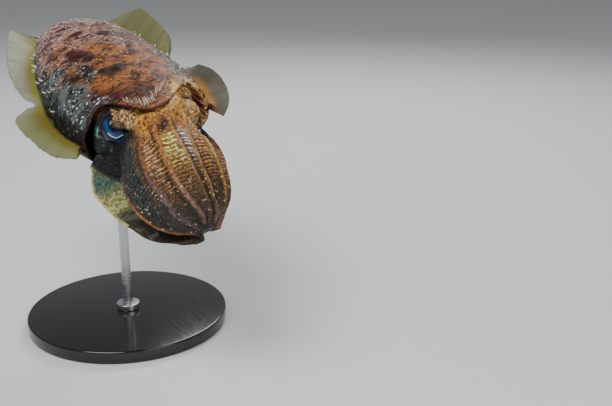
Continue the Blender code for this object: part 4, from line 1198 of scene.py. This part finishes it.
class CUTTLEFISH_OT_head_skin(bpy.types.Operator):
    """Make the skin of the head and all eight arms as one sheet"""

    bl_idname = "cuttlefish.head_skin"
    bl_label = "Head and Arms"

    def execute(self, context):
        settings = context.scene.cuttlefish
        parts = [self.head_core(), self.inner_shade_core()]
        for pair, side in ARMS:
            shares = np.linspace(ARM_ROOT_SHARE, ARM_ENDS[side][pair], ARM_STATIONS)
            parts.append(closed_loft(arm_columns(pair, side, shares, PROFILE_STEPS)))
        piece = add_piece("head_skin", *parts, self.web(-1), self.web(1))
        apply_modifier(piece, "REMESH", mode="VOXEL", voxel_size=settings.skin_voxel)
        apply_modifier(piece, "SMOOTH", factor=0.5, iterations=3)
        keep_largest(piece)
        self.shape_and_colour(piece)
        piece.data.shade_smooth()
        arms = [
            f"arm_{pair}_{side}_{part}"
            for pair in (1, 2, 3, 4) for side in ("left", "right") for part in ("root", "tip")
        ]
        finish_piece(piece, head_skin_material(), "arm_skin", "head", *arms)
        return {"FINISHED"}

    def head_core(self):
        """The head's outline from inside the mantle to a little past the arms' roots."""
        places = np.linspace(HEAD_REAR, HEAD_LENGTH + 0.004, HEAD_STATIONS)
        places = np.concatenate([[-0.026, -0.020], places])
        past = np.minimum(places - HEAD_REAR, 0.0) + np.maximum(places - HEAD_LENGTH, 0)
        columns = []
        for angle in turns(HEAD_COLUMNS):
            column = head_point(np.clip(places, HEAD_REAR, HEAD_LENGTH), angle)
            column[:, 0] += past
            columns.append(column)
        return closed_loft(columns)

    def inner_shade_core(self):
        """A core of flesh inside the ring of arms, from the mouth to near their tips, painted
        near-black as the shade between the arms.
        """
        shares = np.linspace(CORE_SHARES[0], 1.0, CORE_STATIONS)
        centre, _, _ = spine(HEAD_LENGTH + GAP + shares * ARM_LENGTH)
        size = along(CORE_SHARES, CORE_SIZES, shares)[:, None]
        return closed_loft([
            centre + (basket_point(shares, angle)[0] - centre) * size
            for angle in turns(CORE_COLUMNS)
        ])

    def web(self, side):
        """A lowest arm's wide keel, with the fold that joins its upper edge to the cheek."""
        shares = np.linspace(0.0, ARM_ENDS[side][3], WEB_STATIONS)
        there, back = web_faces(side, shares, WEB_STRIPS, WEB_HALF_EDGE)
        steps = np.linspace(0.0, 1.0, FOLD_STEPS, endpoint=False)[:, None]
        first, last = WEB_CHEEK_PLACES[side]
        root = spine(first)[0]
        for index in range(WEB_STRIPS + 1):
            reach = index / WEB_STRIPS
            angle = math.radians(FOLD_START_DEG + (FOLD_END_DEG - FOLD_START_DEG) * reach)
            angle = angle if side > 0 else math.pi - angle
            seat = root + (head_point(first + (last - first) * reach, angle) - root) * 0.94
            half = (there[index][0] - back[index][0]) / 2
            half *= max(1.0, FOLD_HALF_THICKNESS / np.linalg.norm(half))
            for face, offset in ((there, half), (back, -half)):
                fold = seat + offset + (face[index][0] - seat - offset) * steps
                face[index] = np.concatenate([fold, face[index]])
        return closed_loft(there + back[::-1])

    def shape_and_colour(self, piece):
        """Adds the neck, eyes, ridges and wrinkles, and what the material reads."""
        body = self.lift_neck(moved(read_points(piece), BODY_TO_WORLD.inverted()))
        body, eye_masks = self.open_eyes(body)
        place, left, height = spine_coordinates(body)
        share = (place - HEAD_LENGTH - GAP) / ARM_LENGTH
        on_arm = ease(share, 0.0, 0.15)
        clipped = np.clip(share, 0, 1)
        wide, high = (
            np.where(
                share < 0, along(HEAD_PLACES, head, place), along(BASKET_PLACES, arms, clipped)
            )
            for head, arms in (
                (HEAD_HALF_WIDTHS, BASKET_HALF_WIDTHS), (HEAD_BACKS, BASKET_HALF_HEIGHTS)
            )
        )
        turned = np.degrees(np.arctan2(left / wide, height / high))
        radial = np.sqrt((left / wide) ** 2 + (height / high) ** 2)
        radius = np.sqrt(left**2 + height**2)
        side = np.where(left >= 0, 1.0, -1.0)
        thick = along(BASKET_PLACES, ARM_THICKNESSES, clipped)
        outside = ease((radial - 1) * radius, -0.45 * thick, -0.18 * thick)
        start = np.where((left < 0) & (share > 0.05), 1.36, 1.17)
        webs = ease(radial, start, start + 0.14) * (share > -0.45)
        webs = webs * ease(np.abs(turned), 82.0, 96.0)
        dome = outside * (1 - webs)
        lift, ridge, shade = np.zeros((3, len(body)))
        ridge_tones = [np.zeros((len(body), 3)), np.zeros((len(body), 3))]
        offsets = []
        far = ease(place, 0.060, 0.092)[:, None]
        for angles, rise, half_width, start, near_tones, far_tones in RIDGES:
            line_deg = along(RIDGE_PLACES, angles, place)
            offset = np.radians(turned - line_deg) * np.maximum(radius, 0.004)
            offsets.append(offset)
            run = ease(place, start, start + 0.012) * dome
            run = run * (1 - 0.5 * ease(share, 0.88, 1.02))
            mask = bell(offset, half_width) * run
            lift = np.maximum(lift, rise * mask)
            stronger = (mask > ridge)[:, None]
            for index in (0, 1):
                tone = linear(near_tones[index]) * (1 - far) + linear(far_tones[index]) * far
                ridge_tones[index] = np.where(stronger, tone, ridge_tones[index])
            ridge = np.maximum(ridge, mask)
            under = np.sign(line_deg)
            shade = np.maximum(shade, bell(offset - under * half_width * 2.0, 0.0011) * run)
        rim_glint = bell(offsets[4] + 0.0017, 0.0007) * ease(place, 0.058, 0.070) * dome
        offsets = np.stack(offsets, axis=1)
        nearest = np.abs(offsets).min(axis=1)
        wrinkles = soft_noise(body, 0.0035, 21) * 0.00025 + soft_noise(body, 0.009, 22) * 0.0004
        lumps = np.maximum(0, soft_noise(body, 0.0040, 23)) * 0.0006 * eye_masks["lid"]
        away = lift + wrinkles * (1 - on_arm * 0.5) * outside + lumps
        raise_skin(piece, body, away)
        store(piece, place=body)
        slant = place + 0.03 * nearest
        store(piece, bars=np.stack([slant, left * 0.3, side * 0.1], axis=1))
        store(piece, arm=ease(share, 0.05, 0.20) * (1 - webs))
        fading = ease(share, 0.80, 0.45)
        store(piece, bar=np.clip(nearest / 0.0022, 0, 1) * fading * outside * (1 - webs))
        store(piece, speckle=dome * on_arm * (0.35 + 0.4 * ease(share, 0.3, 0.6)))
        self.paint(piece, body, place, share, turned, radius, side, dome, webs,
                   ridge, shade, ridge_tones, eye_masks, rim_glint)

    def lift_neck(self, body):
        """Raises the head's back where it comes out from under the mantle's margin."""
        x, y, z = body.T
        half = by_side(y > 0, {s: mantle_side(1.0, s) for s in (-1, 1)}) - LIP_THICKNESS
        across = np.clip(np.abs(y) / half, 0, 1) ** (1 / SIDE_ROUNDNESS)
        angle = np.arccos(np.clip(across, 0, 1))
        root = root_half_height(1.0)
        inner = root + (mantle_back(1.0) - root - LIP_THICKNESS) * np.sin(angle) ** BACK_ROUNDNESS
        ahead = x - front_shift(1.0, np.where(y > 0, angle, math.pi - angle))
        weight = eased(1 - slope(ahead / by_side(y > 0, NECK_LIFT_ENDS), 0.0, 1.0)) * (z > 0)
        from_deg = by_side(y > 0, NECK_LIFT_DEGS)
        weight = weight * ease(np.degrees(angle), from_deg, from_deg + 20.0)
        place, _, height = spine_coordinates(body)
        low = by_side(y > 0, NECK_LIFT_HEIGHTS)
        top = ease(height, low, low + 0.012) * (place < 0.052)
        rise = np.maximum(0, inner - by_side(y > 0, NECK_CLEARANCES) - z) * weight * top
        return body + np.stack([rise * 0, rise * 0, rise], axis=1)

    def open_eyes(self, body):
        """Sinks the skin over each eye's open part and folds it up as a lid over the rest."""
        masks = {name: np.zeros(len(body)) for name in ("lid", "socket", "glint", "below")}

        def keep(name, value):
            masks[name] = np.maximum(masks[name], value)

        for side in (-1, 1):
            offset = body - eye_centre(side)
            distance = np.linalg.norm(offset, axis=1)
            way = offset / distance[:, None]
            view, right, up = eye_view_axes(side)
            x, y = way @ right, way @ up
            polar = np.degrees(np.arccos(np.clip(way @ view, -1, 1)))
            edge = lid_edge(x, y)
            near = ease(distance, *EYE_REACHES[side])
            # The skin round the eye comes down to the ball, the lid a little above it
            around = ease(polar, 128.0, 92.0) * near
            around = around * ease(edge, -0.85, -0.30)
            brow = 0.0009 + 0.0012 * bell(edge + 0.16, 0.14)
            limb = np.where(edge > 0, 0.0, brow) - 0.0010 * ease(edge, 0.0, 0.3)
            target = distance + (EYE_RADIUS + limb - distance) * around
            cover = ease(polar, 108.0, 88.0) * near * (edge < 0.02)
            target = target + (np.maximum(target, EYE_RADIUS + brow) - target) * cover
            opening = ease(edge, -0.02, 0.10)
            opening = opening * ease(polar, 88.0, 80.0) * near
            target = target + (EYE_RADIUS * 0.86 - target) * opening
            body = body + way * (target - distance)[:, None]
            offset = (body - eye_centre(side)) / EYE_RADIUS
            x, y = offset @ right, offset @ up
            close = ease(np.linalg.norm(offset, axis=1), *EYE_TINT_REACHES[side])
            keep("lid", close * ease(edge, 0.10, -0.10) * (1.0 if side < 0 else 0.6))
            # Near-black painted shade in the hollow at each lid's edge
            keep("socket", close * ease(edge, -0.12, 0.02))
            # Painted shade below each eye, part of the cheeks' painted shade
            keep("below", close * ease(y + 0.15 * x, -0.55, -0.95) * (x < 1.1))
            keep("glint", bell(x + 1.12, 0.20) * bell(y + 0.28, 0.30) * (side < 0))
            keep("glint", bell(x + 0.80, 0.07) * bell(y + 0.98, 0.14) * 0.7 * (side < 0))
            keep("glint", bell(x + 0.30, 0.06) * bell(y + 1.35, 0.20) * 0.7 * (side < 0))
        return body, masks

    def paint(self, piece, body, place, share, turned, radius, side, dome, webs,
              ridge, shade, ridge_tones, eyes, rim_glint):
        """The dark and light tones of every part of the head, the arms and their webs.

        Each mask runs from 0 to 1. Masks are laid out by metres along the spine, shares of
        the arms' length and degrees round it from the back, with noise at their borders.
        Several are painted light: shade on the arms' right side, undersides and inner faces,
        near-black shade on the cheeks and round the eyes, shade beside the ridges, and glints.
        """
        wander = soft_noise(body, 0.010, 31) * 7 + soft_noise(body, 0.004, 32) * 3
        t = turned + wander * 0.6
        on_arm = ease(share, -0.10, 0.10)
        lines = [along(RIDGE_PLACES, entry[0], place) for entry in RIDGES]
        middle = ease(place, 0.036, 0.050)
        middle = middle * ease(place + 0.0005 * wander, 0.086, 0.062)
        late = ease(place, 0.044, 0.053)
        between = gap(t, lines[0], lines[1]) * late
        left_gap = gap(t, lines[1], lines[3]) * late
        right_gap = gap(t, lines[2], lines[0])
        # Painted shade on the arms past the right third arm's ridge, darkest furthest round
        right_side_shade = ease(lines[2] - t, 0.0, 5.0)
        right_side_shade = right_side_shade * ease(place, 0.010, 0.030)
        deeper_shade = ease(lines[2] - t, 8.0, 24.0)
        dusk = ease(place + 0.0006 * wander, 0.058, 0.080)
        # Near-black painted shade on the head's underside, where it meets the wide keels
        fold = np.where(side < 0, 1.0, 0.8) * (1 - on_arm)
        fold = fold * ease(place, 0.006, 0.020)
        fold = fold * ease(np.abs(turned), 96.0, 110.0)
        tips = ease(share, 0.60, 0.90)
        # Near-black painted shade on the cheeks, low on the head and below the eyes
        top = np.where(side < 0, 0.016, 0.004)
        cheek = ease(body[:, 2] + 0.0006 * wander, top, top - 0.009)
        cheek = np.maximum(cheek, eyes["below"]) * (1 - on_arm)
        # Painted shade on the arms' undersides
        under = ease(np.abs(t), 104.0, 118.0) * on_arm
        left_low = ease(t, 62.0, 74.0) * on_arm
        neck = (side > 0) * ease(body[:, 0], 0.016, 0.004) * (body[:, 2] > 0.016)
        throat = ease(np.abs(turned), 112, 130) * (1 - on_arm)
        spot = bell(place - 0.0445, 0.0030) * gap(turned, lines[0] + 1, lines[1] - 1)
        rim = self.edge_nearness(body)
        teal = ease(share, 0.12, -0.12) * (side < 0)
        brown = ease(share + 0.02 * wander / 7, 0.22, 0.38) * (side < 0)
        band = ease(share, 0.50, 0.62) * (side < 0)
        edge = ease(rim, 0.0028, 0.0012) * (share < 0.55)
        deep, bright = zoned(
            len(body), ("#6a2c00", "#ffc248"),
            (eyes["lid"], "#381602", "#ecc080"),
            (on_arm * dome, "#401a02", "#dc9430"),
            (middle * between * dome, "#6c3400", "#f0f084"),
            (middle * left_gap * dome, "#482008", "#fce4d0"),
            (middle * right_gap * dome, "#2c0e00", "#e0a050"),
            (spot * dome, "#140602", "#4c200c"),
            # Painted shade on the arms' right side, darkest furthest round
            (right_side_shade * dome, "#0a0402", "#806040"),
            (deeper_shade * dome, "#020303", "#404a44"),
            (dusk * dome * (1 - deeper_shade) * 0.85, "#100602", "#845620"),
            (left_low * dome, "#3c1c0c", "#b0764c"),
            (tips * dome * 0.85, "#120c0a", "#685240"),
            # Painted shade on the arms' undersides
            (under * dome, "#0c0805", "#40342a"),
            (neck, "#6c3c0c", "#f0cc80"),
            (throat, "#3c2c1c", "#7c6850"),
            # Near-black painted shade on the cheeks and the head's underside
            (cheek, "#010202", "#080e0c"),
            (fold, "#010504", "#0c1c1a"),
            (ridge, "#000000", "#000000"),
            (webs, "#504e1e", "#a8a45c"),
            (webs * teal, "#14302a", "#4c7466"),
            (webs * brown, "#1c1608", "#3a3016"),
            (webs * band, "#140c04", "#3c2c14"),
            (webs * edge * (side < 0), "#8c7c34", "#e0d080"),
            (webs * (side > 0), "#34140a", "#a4683c"),
            (webs * edge * (side > 0), "#48140c", "#7a2c18"),
        )
        weight = (ridge * (1 - 0.45 * tips))[:, None]
        deep += ridge_tones[0] * weight
        bright += ridge_tones[1] * weight
        # Painted shade: the arms' inner faces and the core between them darken to near-black
        inside = (1 - dome) * (1 - webs) * ease(share, 0.0, 0.12)
        for tones, dark in ((deep, "#0a0604"), (bright, "#2c2018")):
            tones += (linear(dark) - tones) * inside[:, None]
            tones *= 1 - 0.75 * shade[:, None] * (1 - ridge[:, None])
            # Near-black painted shade in the hollow round each eye's opening
            socket = eyes["socket"][:, None]
            tones += (linear("#010203") - tones) * socket
            glint = eyes["glint"] * ease(soft_noise(body, 0.0022, 33), -0.4, 0.1)
            tones += (linear("#78b4ae") - tones) * glint[:, None] * 0.9
            tones += (linear("#c0d0e0") - tones) * rim_glint[:, None] * 0.9
        store(piece, deep=deep, bright=bright)
        store(piece, smooth=np.clip(webs + ridge + inside + cheek, 0, 1))
        out = slope(radius, 0.030, 0.062)
        store(piece, web_place=np.stack([place * 1.1 - radius * 0.6, radius, side * 0.1], 1))
        streak = webs * ease(share, 0.45, 0.25) * (0.35 + 0.65 * out)
        streak *= ease(share, 0.0, 0.10) * np.where(side > 0, 0.5, 1.0)
        store(piece, web_streak=streak)

    def edge_nearness(self, body):
        """Distance of each point from the outer edges of the wide keels."""
        nearest = np.full(len(body), 1.0)
        for side in (-1, 1):
            shares = np.linspace(0.0, ARM_ENDS[side][3], 60)
            there, _ = web_faces(side, shares, WEB_STRIPS, 0.0)
            first = np.stack([column[0] for column in there])
            for point in np.concatenate([there[-1], first]):
                nearest = np.minimum(nearest, np.linalg.norm(body - point, axis=1))
        return nearest


def gap(turned, first, last):
    """1 between two ridges and soft at both."""
    return ease(turned - first, 0.0, 4.0) * ease(last - turned, 0.0, 4.0)


def keep_largest(piece):
    """Drops every loose scrap but the one with the most points."""
    shape = bmesh.new()
    shape.from_mesh(piece.data)
    waiting, groups = set(shape.verts), []
    while waiting:
        group = [waiting.pop()]
        # The group grows by its neighbours while it is read
        for vert in group:
            near = {edge.other_vert(vert) for edge in vert.link_edges} & waiting
            waiting -= near
            group += near
        groups.append(group)
    for group in sorted(groups, key=len)[:-1]:
        bmesh.ops.delete(shape, geom=group, context="VERTS")
    shape.to_mesh(piece.data)
    shape.free()


# Points compared with the spine at once, which keeps the memory in bounds
POINTS_AT_ONCE = 20000


def spine_coordinates(body):
    """Distance along the spine, and leftward and dorsal offsets, of points near it."""
    places = np.arange(-0.03, 0.134, 0.0005)
    centre, forward, dorsal = spine(places)
    best = np.empty(len(body))
    for first in range(0, len(body), POINTS_AT_ONCE):
        part = slice(first, first + POINTS_AT_ONCE)
        ahead = body[part] @ forward.T - (centre * forward).sum(axis=1)
        best[part] = places[np.abs(ahead).argmin(axis=1)]
    centre, forward, dorsal = spine(best)
    offset = body - centre
    best = best + (offset * forward).sum(axis=1)
    return best, offset[:, 1], (offset * dorsal).sum(axis=1)


class CUTTLEFISH_OT_eyes(bpy.types.Operator):
    """Make both eyeballs, each with a blue iris crescent"""

    bl_idname = "cuttlefish.eyes"
    bl_label = "Eyes"

    def execute(self, context):
        material = eye_material()
        polar = np.linspace(0.0, math.pi, EYE_RINGS)
        for side, name in ((-1, "right"), (1, "left")):
            outward, across, upward = eye_axes(side)
            middle = eye_centre(side) + np.outer(np.cos(polar), outward) * EYE_RADIUS
            columns = ringed(middle, across, upward, np.sin(polar) * EYE_RADIUS, EYE_COLUMNS)
            grid = np.stack(columns, axis=1).reshape(-1, 3)
            piece = add_piece(f"eyeball_{name}", (grid, ring_faces(EYE_RINGS, EYE_COLUMNS)))
            self.keep_iris(piece, grid, side)
            recalculate_normals(piece, merge=0.00001)
            finish_piece(piece, material, "eye", f"eye_{name}")
        return {"FINISHED"}

    def keep_iris(self, piece, grid, side):
        """Keeps where the iris, its bright parts and the light's line on it are."""
        local = (grid - eye_centre(side)) / EYE_RADIUS
        x, y, front = (local @ axis for axis in np.array(eye_view_axes(side))[[1, 2, 0]])
        facing = ease(front, -0.35, -0.15)
        slit = ease(distance_to_path(x, y, EYE_SLIT), 0.085, 0.04)
        glow = bell(distance_to_path(x, y, EYE_GLOW), 0.12) * 0.50
        glow = np.maximum(glow, bell(np.hypot(x - 0.18, y + 0.80), 0.16) * 0.7)
        # A painted highlight line on the iris
        line = ease(distance_to_path(x, y, EYE_LINE), 0.048, 0.018)
        iris = ease(lid_edge(x, y), 0.08, 0.20) * (1 - slit)
        store(piece, place=grid, iris=iris * facing, bright=glow * facing, line=line * facing)


FUNNEL_LENGTH = 0.036
FUNNEL_PLACES = (0.0, 0.25, 0.55, 0.8, 1.0)
FUNNEL_HALF_WIDTHS = (0.0130, 0.0125, 0.0101, 0.0075, 0.0063)
FUNNEL_HALF_HEIGHTS = (0.0039, 0.0042, 0.0047, 0.0044, 0.0041)
FUNNEL_WALL = 0.0013
FUNNEL_TOP = -0.0165
FUNNEL_FALL = 0.018
FUNNEL_RINGS = (40, 24)
FUNNEL_COLUMNS = 64
FUNNEL_FOLDS = 9


class CUTTLEFISH_OT_funnel(bpy.types.Operator):
    """Make the funnel under the head as an open tube with a thin wall"""

    bl_idname = "cuttlefish.funnel"
    bl_label = "Funnel"

    def execute(self, context):
        outside, inside = FUNNEL_RINGS
        places = [np.linspace(-0.12, 1.0, outside), np.linspace(1.0, 0.25, inside)]
        places = np.concatenate(places)
        inset = np.repeat([0.0, FUNNEL_WALL], FUNNEL_RINGS)
        clipped = np.clip(places, 0, 1)
        wide = along(FUNNEL_PLACES, FUNNEL_HALF_WIDTHS, clipped) - inset
        high = along(FUNNEL_PLACES, FUNNEL_HALF_HEIGHTS, clipped) - inset
        x = HEAD_REAR + FUNNEL_LENGTH * places
        z = FUNNEL_TOP - FUNNEL_FALL * clipped**1.5
        columns = []
        for angle in turns(FUNNEL_COLUMNS):
            folds = 1 + 0.035 * math.sin(angle * FUNNEL_FOLDS) * (1 - clipped * 0.6)
            y = wide * folds * math.cos(angle)
            columns.append(np.stack([x, y, z + high * folds * math.sin(angle)], axis=-1))
        piece = add_piece("funnel_tube", closed_loft(columns))
        finish_piece(piece, funnel_material(), "mantle_skin", "funnel")
        return {"FINISHED"}


SUCKER_ROWS = (-0.60, -0.20, 0.20, 0.60)
SUCKERS_IN_ROW = 20
SUCKER_RADIUS = 0.00125
CUP_COLUMNS = 8
# Height and width of a cup's rings, in its own radii, from its seat to inside its mouth
SUCKER_RINGS = ((-0.5, 0.7), (0.4, 1.0), (0.8, 0.85), (0.45, 0.35))


class CUTTLEFISH_OT_suckers(bpy.types.Operator):
    """Make the four rows of suckers along the inner face of each arm"""

    bl_idname = "cuttlefish.suckers"
    bl_label = "Suckers"

    def execute(self, context):
        cups = []
        for pair, side in ARMS:
            for row, across in enumerate(SUCKER_ROWS):
                for index in range(SUCKERS_IN_ROW):
                    share = 0.08 + 0.88 * (index + 0.5 * (row % 2)) / SUCKERS_IN_ROW
                    if share < ARM_ENDS[side][pair] - 0.02:
                        cups.append(self.cup(pair, side, share, across))
        finish_piece(add_piece("suckers", *cups), sucker_material(), "arm_skin")
        return {"FINISHED"}

    def cup(self, pair, side, share, across):
        """A short cup with a dished mouth that stands on the arm's inner face."""
        middle = math.radians(ARM_ANGLES_DEG[pair]) * side
        sector = math.radians(ARM_SECTORS_DEG[pair]) * arm_slimming(pair, side, share)
        point, outward = basket_point(share, middle + across * sector * 0.95)
        seat = point - outward * arm_thickness(pair, side, share) * 0.99
        radius = SUCKER_RADIUS * (1.0 - 0.62 * share) * (1.0 - 0.25 * abs(across))
        turn = np.array(Vector((-outward).tolist()).to_track_quat("Z", "Y").to_matrix())
        rises, sizes = np.array(SUCKER_RINGS).T * radius
        return closed_loft(
            ringed(seat + np.outer(rises, turn[:, 2]), turn[:, 0], turn[:, 1], sizes, CUP_COLUMNS)
        )


# The mantle's larger papillae: share of its length, degrees up from the side, height share
PAPILLAE = (
    (0.16, 24, 0.60), (0.28, 18, 0.80), (0.40, 22, 0.9), (0.45, 26, 1.0), (0.53, 17, 0.75),
    (0.66, 22, 0.8), (0.79, 17, 0.75), (0.34, 58, 0.5), (0.62, 52, 0.5), (0.22, 40, 0.45),
    (0.47, 38, 0.55), (0.72, 40, 0.5), (0.86, 30, 0.45), (0.12, 60, 0.4), (0.50, 66, 0.35),
    (0.43, 20, 0.8), (0.58, 26, 0.7), (0.33, 28, 0.7), (0.70, 28, 0.6), (0.38, 12, 0.7),
)
# The row of filaments behind the margin: angles from the left, and shares, from end to end
FILAMENT_ANGLES_DEG = (70.0, 77.0, 84.0, 90.0, 95.5, 101.0, 105.0)
FILAMENT_SHARES = (0.935, 0.942, 0.956, 0.974, 0.980, 0.979, 0.976)
FILAMENTS = 27
CONE_RISES = (-0.35, 0.0, 0.2, 0.4, 0.6, 0.8, 0.95, 1.0)
CONE_SIZES = (1.3, 1.05, 0.8, 0.6, 0.44, 0.28, 0.14, 0.05)
CONE_COLUMNS = 10
CONE_SLENDERNESS = 0.34
CONE_LEAN = 0.35
FILAMENT_LENGTHS = (0.0040, 0.0078)
FILAMENT_RADII = (0.00065, 0.00100)


class CUTTLEFISH_OT_papillae(bpy.types.Operator):
    """Make the pale skin cones on the mantle and the filaments behind its margin"""

    bl_idname = "cuttlefish.papillae"
    bl_label = "Papillae and Filaments"

    def execute(self, context):
        cones = []
        for side in (-1, 1):
            for share, up_deg, height in PAPILLAE:
                angle = math.radians(up_deg if side > 0 else 180 - up_deg)
                size = context.scene.cuttlefish.papilla_height * height
                radius = size * CONE_SLENDERNESS
                cones.append(self.cone(share, angle, radius, size, CONE_LEAN, 0.0))
        values = np.random.default_rng(5)
        steps = np.arange(len(FILAMENT_SHARES))
        for index in range(FILAMENTS):
            spot = np.array(index / (FILAMENTS - 1) * (len(FILAMENT_SHARES) - 1))
            angle = math.radians(along(steps, FILAMENT_ANGLES_DEG, spot))
            share = along(steps, FILAMENT_SHARES, spot) + values.uniform(-0.006, 0.006)
            length = values.uniform(*FILAMENT_LENGTHS)
            size = values.uniform(*FILAMENT_RADII)
            turn = values.uniform(-0.40, 0.40)
            cones.append(self.cone(share, angle, size, length, values.uniform(0.6, 0.9), turn))
        piece = add_piece("papillae", *cones)
        paleness = np.repeat(slope(CONE_RISES, 0.15, 0.75), CONE_COLUMNS)
        store(piece, tip=np.tile([*paleness, 0.0, 1.0], len(cones)))
        finish_piece(piece, cone_material(), "mantle_skin")
        return {"FINISHED"}

    def cone(self, share, angle, radius, height, lean, turn):
        """A soft-tipped cone that starts below the skin and leans back towards the tail."""
        seat = mantle_point(share, angle)
        forward = unit(mantle_point(share + 0.005, angle) - seat)
        round_it = unit(mantle_point(share, angle + 0.02) - seat)
        outward = unit(np.cross(forward, round_it))
        if outward[1:] @ seat[1:] < 0:
            outward = -outward
        rises, sizes = np.array(CONE_RISES), np.array(CONE_SIZES)
        back = -forward * math.cos(turn) + round_it * math.sin(turn)
        bend = back * (lean * rises.clip(0) ** 1.5)[:, None]
        stand = outward * (rises * (1 - 0.45 * lean))[:, None]
        middle = seat + (stand + bend) * height
        return closed_loft(ringed(middle, forward, round_it, sizes * radius, CONE_COLUMNS))


COLLAR_RADIUS = 0.011
COLLAR_HEIGHT = 0.006
FOOT_EDGE = 0.0016
COLLAR_EDGE = 0.0008


class CUTTLEFISH_OT_stand(bpy.types.Operator):
    """Make the round foot and the collar, and finish the rod"""

    bl_idname = "cuttlefish.stand"
    bl_label = "Stand"

    def execute(self, context):
        foot = self.turned_disc("foot_disc", FOOT_RADIUS, 0.0, FOOT_THICKNESS, FOOT_EDGE, 160)
        finish_piece(foot, acrylic_material(), "stand_black", "stand_foot")
        steel = steel_material()
        low, high = FOOT_THICKNESS, FOOT_THICKNESS + COLLAR_HEIGHT
        collar = self.turned_disc("rod_collar", COLLAR_RADIUS, low, high, COLLAR_EDGE, 64)
        finish_piece(collar, steel, "stand_steel")
        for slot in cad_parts["stand_rod"].material_slots:
            slot.material = steel
        return {"FINISHED"}

    def turned_disc(self, name, radius, low, high, edge, count):
        """A disc with softened rims, turned from a cylinder."""
        bpy.ops.object.select_all(action="DESELECT")
        bpy.ops.mesh.primitive_cylinder_add(
            vertices=count, radius=radius, depth=high - low, location=(0, 0, (low + high) / 2)
        )
        piece = bpy.context.active_object
        piece.name = piece.data.name = name
        bpy.ops.object.transform_apply(location=True, rotation=True, scale=True)
        apply_modifier(piece, "BEVEL", width=edge, segments=4, limit_method="ANGLE")
        recalculate_normals(piece)
        bpy.ops.object.shade_smooth_by_angle(angle=math.radians(35))
        return piece


# The camera stands where the picture was taken from, seen from the model
CAMERA_PLACE = (-0.2483, -0.7626, 0.3703)
CAMERA_TILT_DEG = 72.214
CAMERA_TURN_DEG = -30.554
CAMERA_LENS_MM = 51.36
FLOOR_RADIUS = 6.0
WORLD_STRENGTH = 0.36
# Name, place, size and share of the main lamp's power
LAMPS = (
    ("key_lamp", (-0.9, -0.5, 1.7), 1.1, 1.0),
    ("back_lamp", (0.9, 0.9, 1.3), 0.9, 0.55),
    ("front_lamp", (0.4, -1.6, 0.9), 1.2, 0.35),
)
LAMPS_AIM = Vector((0, 0, 0.2))


class CUTTLEFISH_OT_stage(bpy.types.Operator):
    """Add the pale floor, the soft lamps and the camera"""

    bl_idname = "cuttlefish.stage"
    bl_label = "Stage"

    def execute(self, context):
        bpy.ops.mesh.primitive_circle_add(vertices=96, radius=FLOOR_RADIUS, fill_type="NGON")
        floor = context.active_object
        floor.name = "floor"
        floor.data.materials.append(paper_material())
        world = bpy.data.worlds.new("studio")
        world.use_nodes = True
        background = world.node_tree.nodes["Background"]
        background.inputs["Color"].default_value = (*from_hex("#dfe3e6"), 1.0)
        background.inputs["Strength"].default_value = WORLD_STRENGTH
        context.scene.world = world
        for name, place, size, share in LAMPS:
            lamp = bpy.data.lights.new(name, "AREA")
            lamp.shape = "DISK"
            lamp.size = size
            lamp.energy = context.scene.cuttlefish.lamp_power * share
            aim = LAMPS_AIM - Vector(place)
            self.place(name, lamp, place, aim.to_track_quat("-Z", "Y").to_euler())
        camera = bpy.data.cameras.new("camera")
        camera.lens = CAMERA_LENS_MM
        camera.sensor_width = 36.0
        camera.clip_start = 0.01
        turn = (math.radians(CAMERA_TILT_DEG), 0.0, math.radians(CAMERA_TURN_DEG))
        context.scene.camera = self.place("camera", camera, CAMERA_PLACE, turn)
        return {"FINISHED"}

    def place(self, name, data, location, turn):
        """Adds a lamp or the camera to the scene."""
        thing = bpy.data.objects.new(name, data)
        thing.location = location
        thing.rotation_euler = turn
        bpy.context.scene.collection.objects.link(thing)
        return thing


PIECE_OPERATORS = (
    CUTTLEFISH_OT_stage,
    CUTTLEFISH_OT_mantle_skin,
    CUTTLEFISH_OT_head_skin,
    CUTTLEFISH_OT_eyes,
    CUTTLEFISH_OT_funnel,
    CUTTLEFISH_OT_suckers,
    CUTTLEFISH_OT_papillae,
    CUTTLEFISH_OT_stand,
)


class CUTTLEFISH_PT_panel(bpy.types.Panel):
    """Lists the model's settings and the steps that build it"""

    bl_label = "Cuttlefish"
    bl_idname = "CUTTLEFISH_PT_panel"
    bl_space_type = "VIEW_3D"
    bl_region_type = "UI"
    bl_category = "Cuttlefish"

    def draw(self, context):
        for name in CuttlefishSettings.__annotations__:
            self.layout.prop(context.scene.cuttlefish, name)
        for operator in PIECE_OPERATORS:
            self.layout.operator(operator.bl_idname)


CLASSES = (CuttlefishSettings, *PIECE_OPERATORS, CUTTLEFISH_PT_panel)


def register():
    for thing in CLASSES:
        bpy.utils.register_class(thing)
    bpy.types.Scene.cuttlefish = bpy.props.PointerProperty(type=CuttlefishSettings)


def unregister():
    del bpy.types.Scene.cuttlefish
    for thing in reversed(CLASSES):
        bpy.utils.unregister_class(thing)


def main():
    register()
    bpy.ops.cuttlefish.stage()
    bpy.ops.cuttlefish.mantle_skin()
    bpy.ops.cuttlefish.head_skin()
    bpy.ops.cuttlefish.eyes()
    bpy.ops.cuttlefish.funnel()
    bpy.ops.cuttlefish.suckers()
    bpy.ops.cuttlefish.papillae()
    bpy.ops.cuttlefish.stand()


if __name__ == "__main__":
    main()
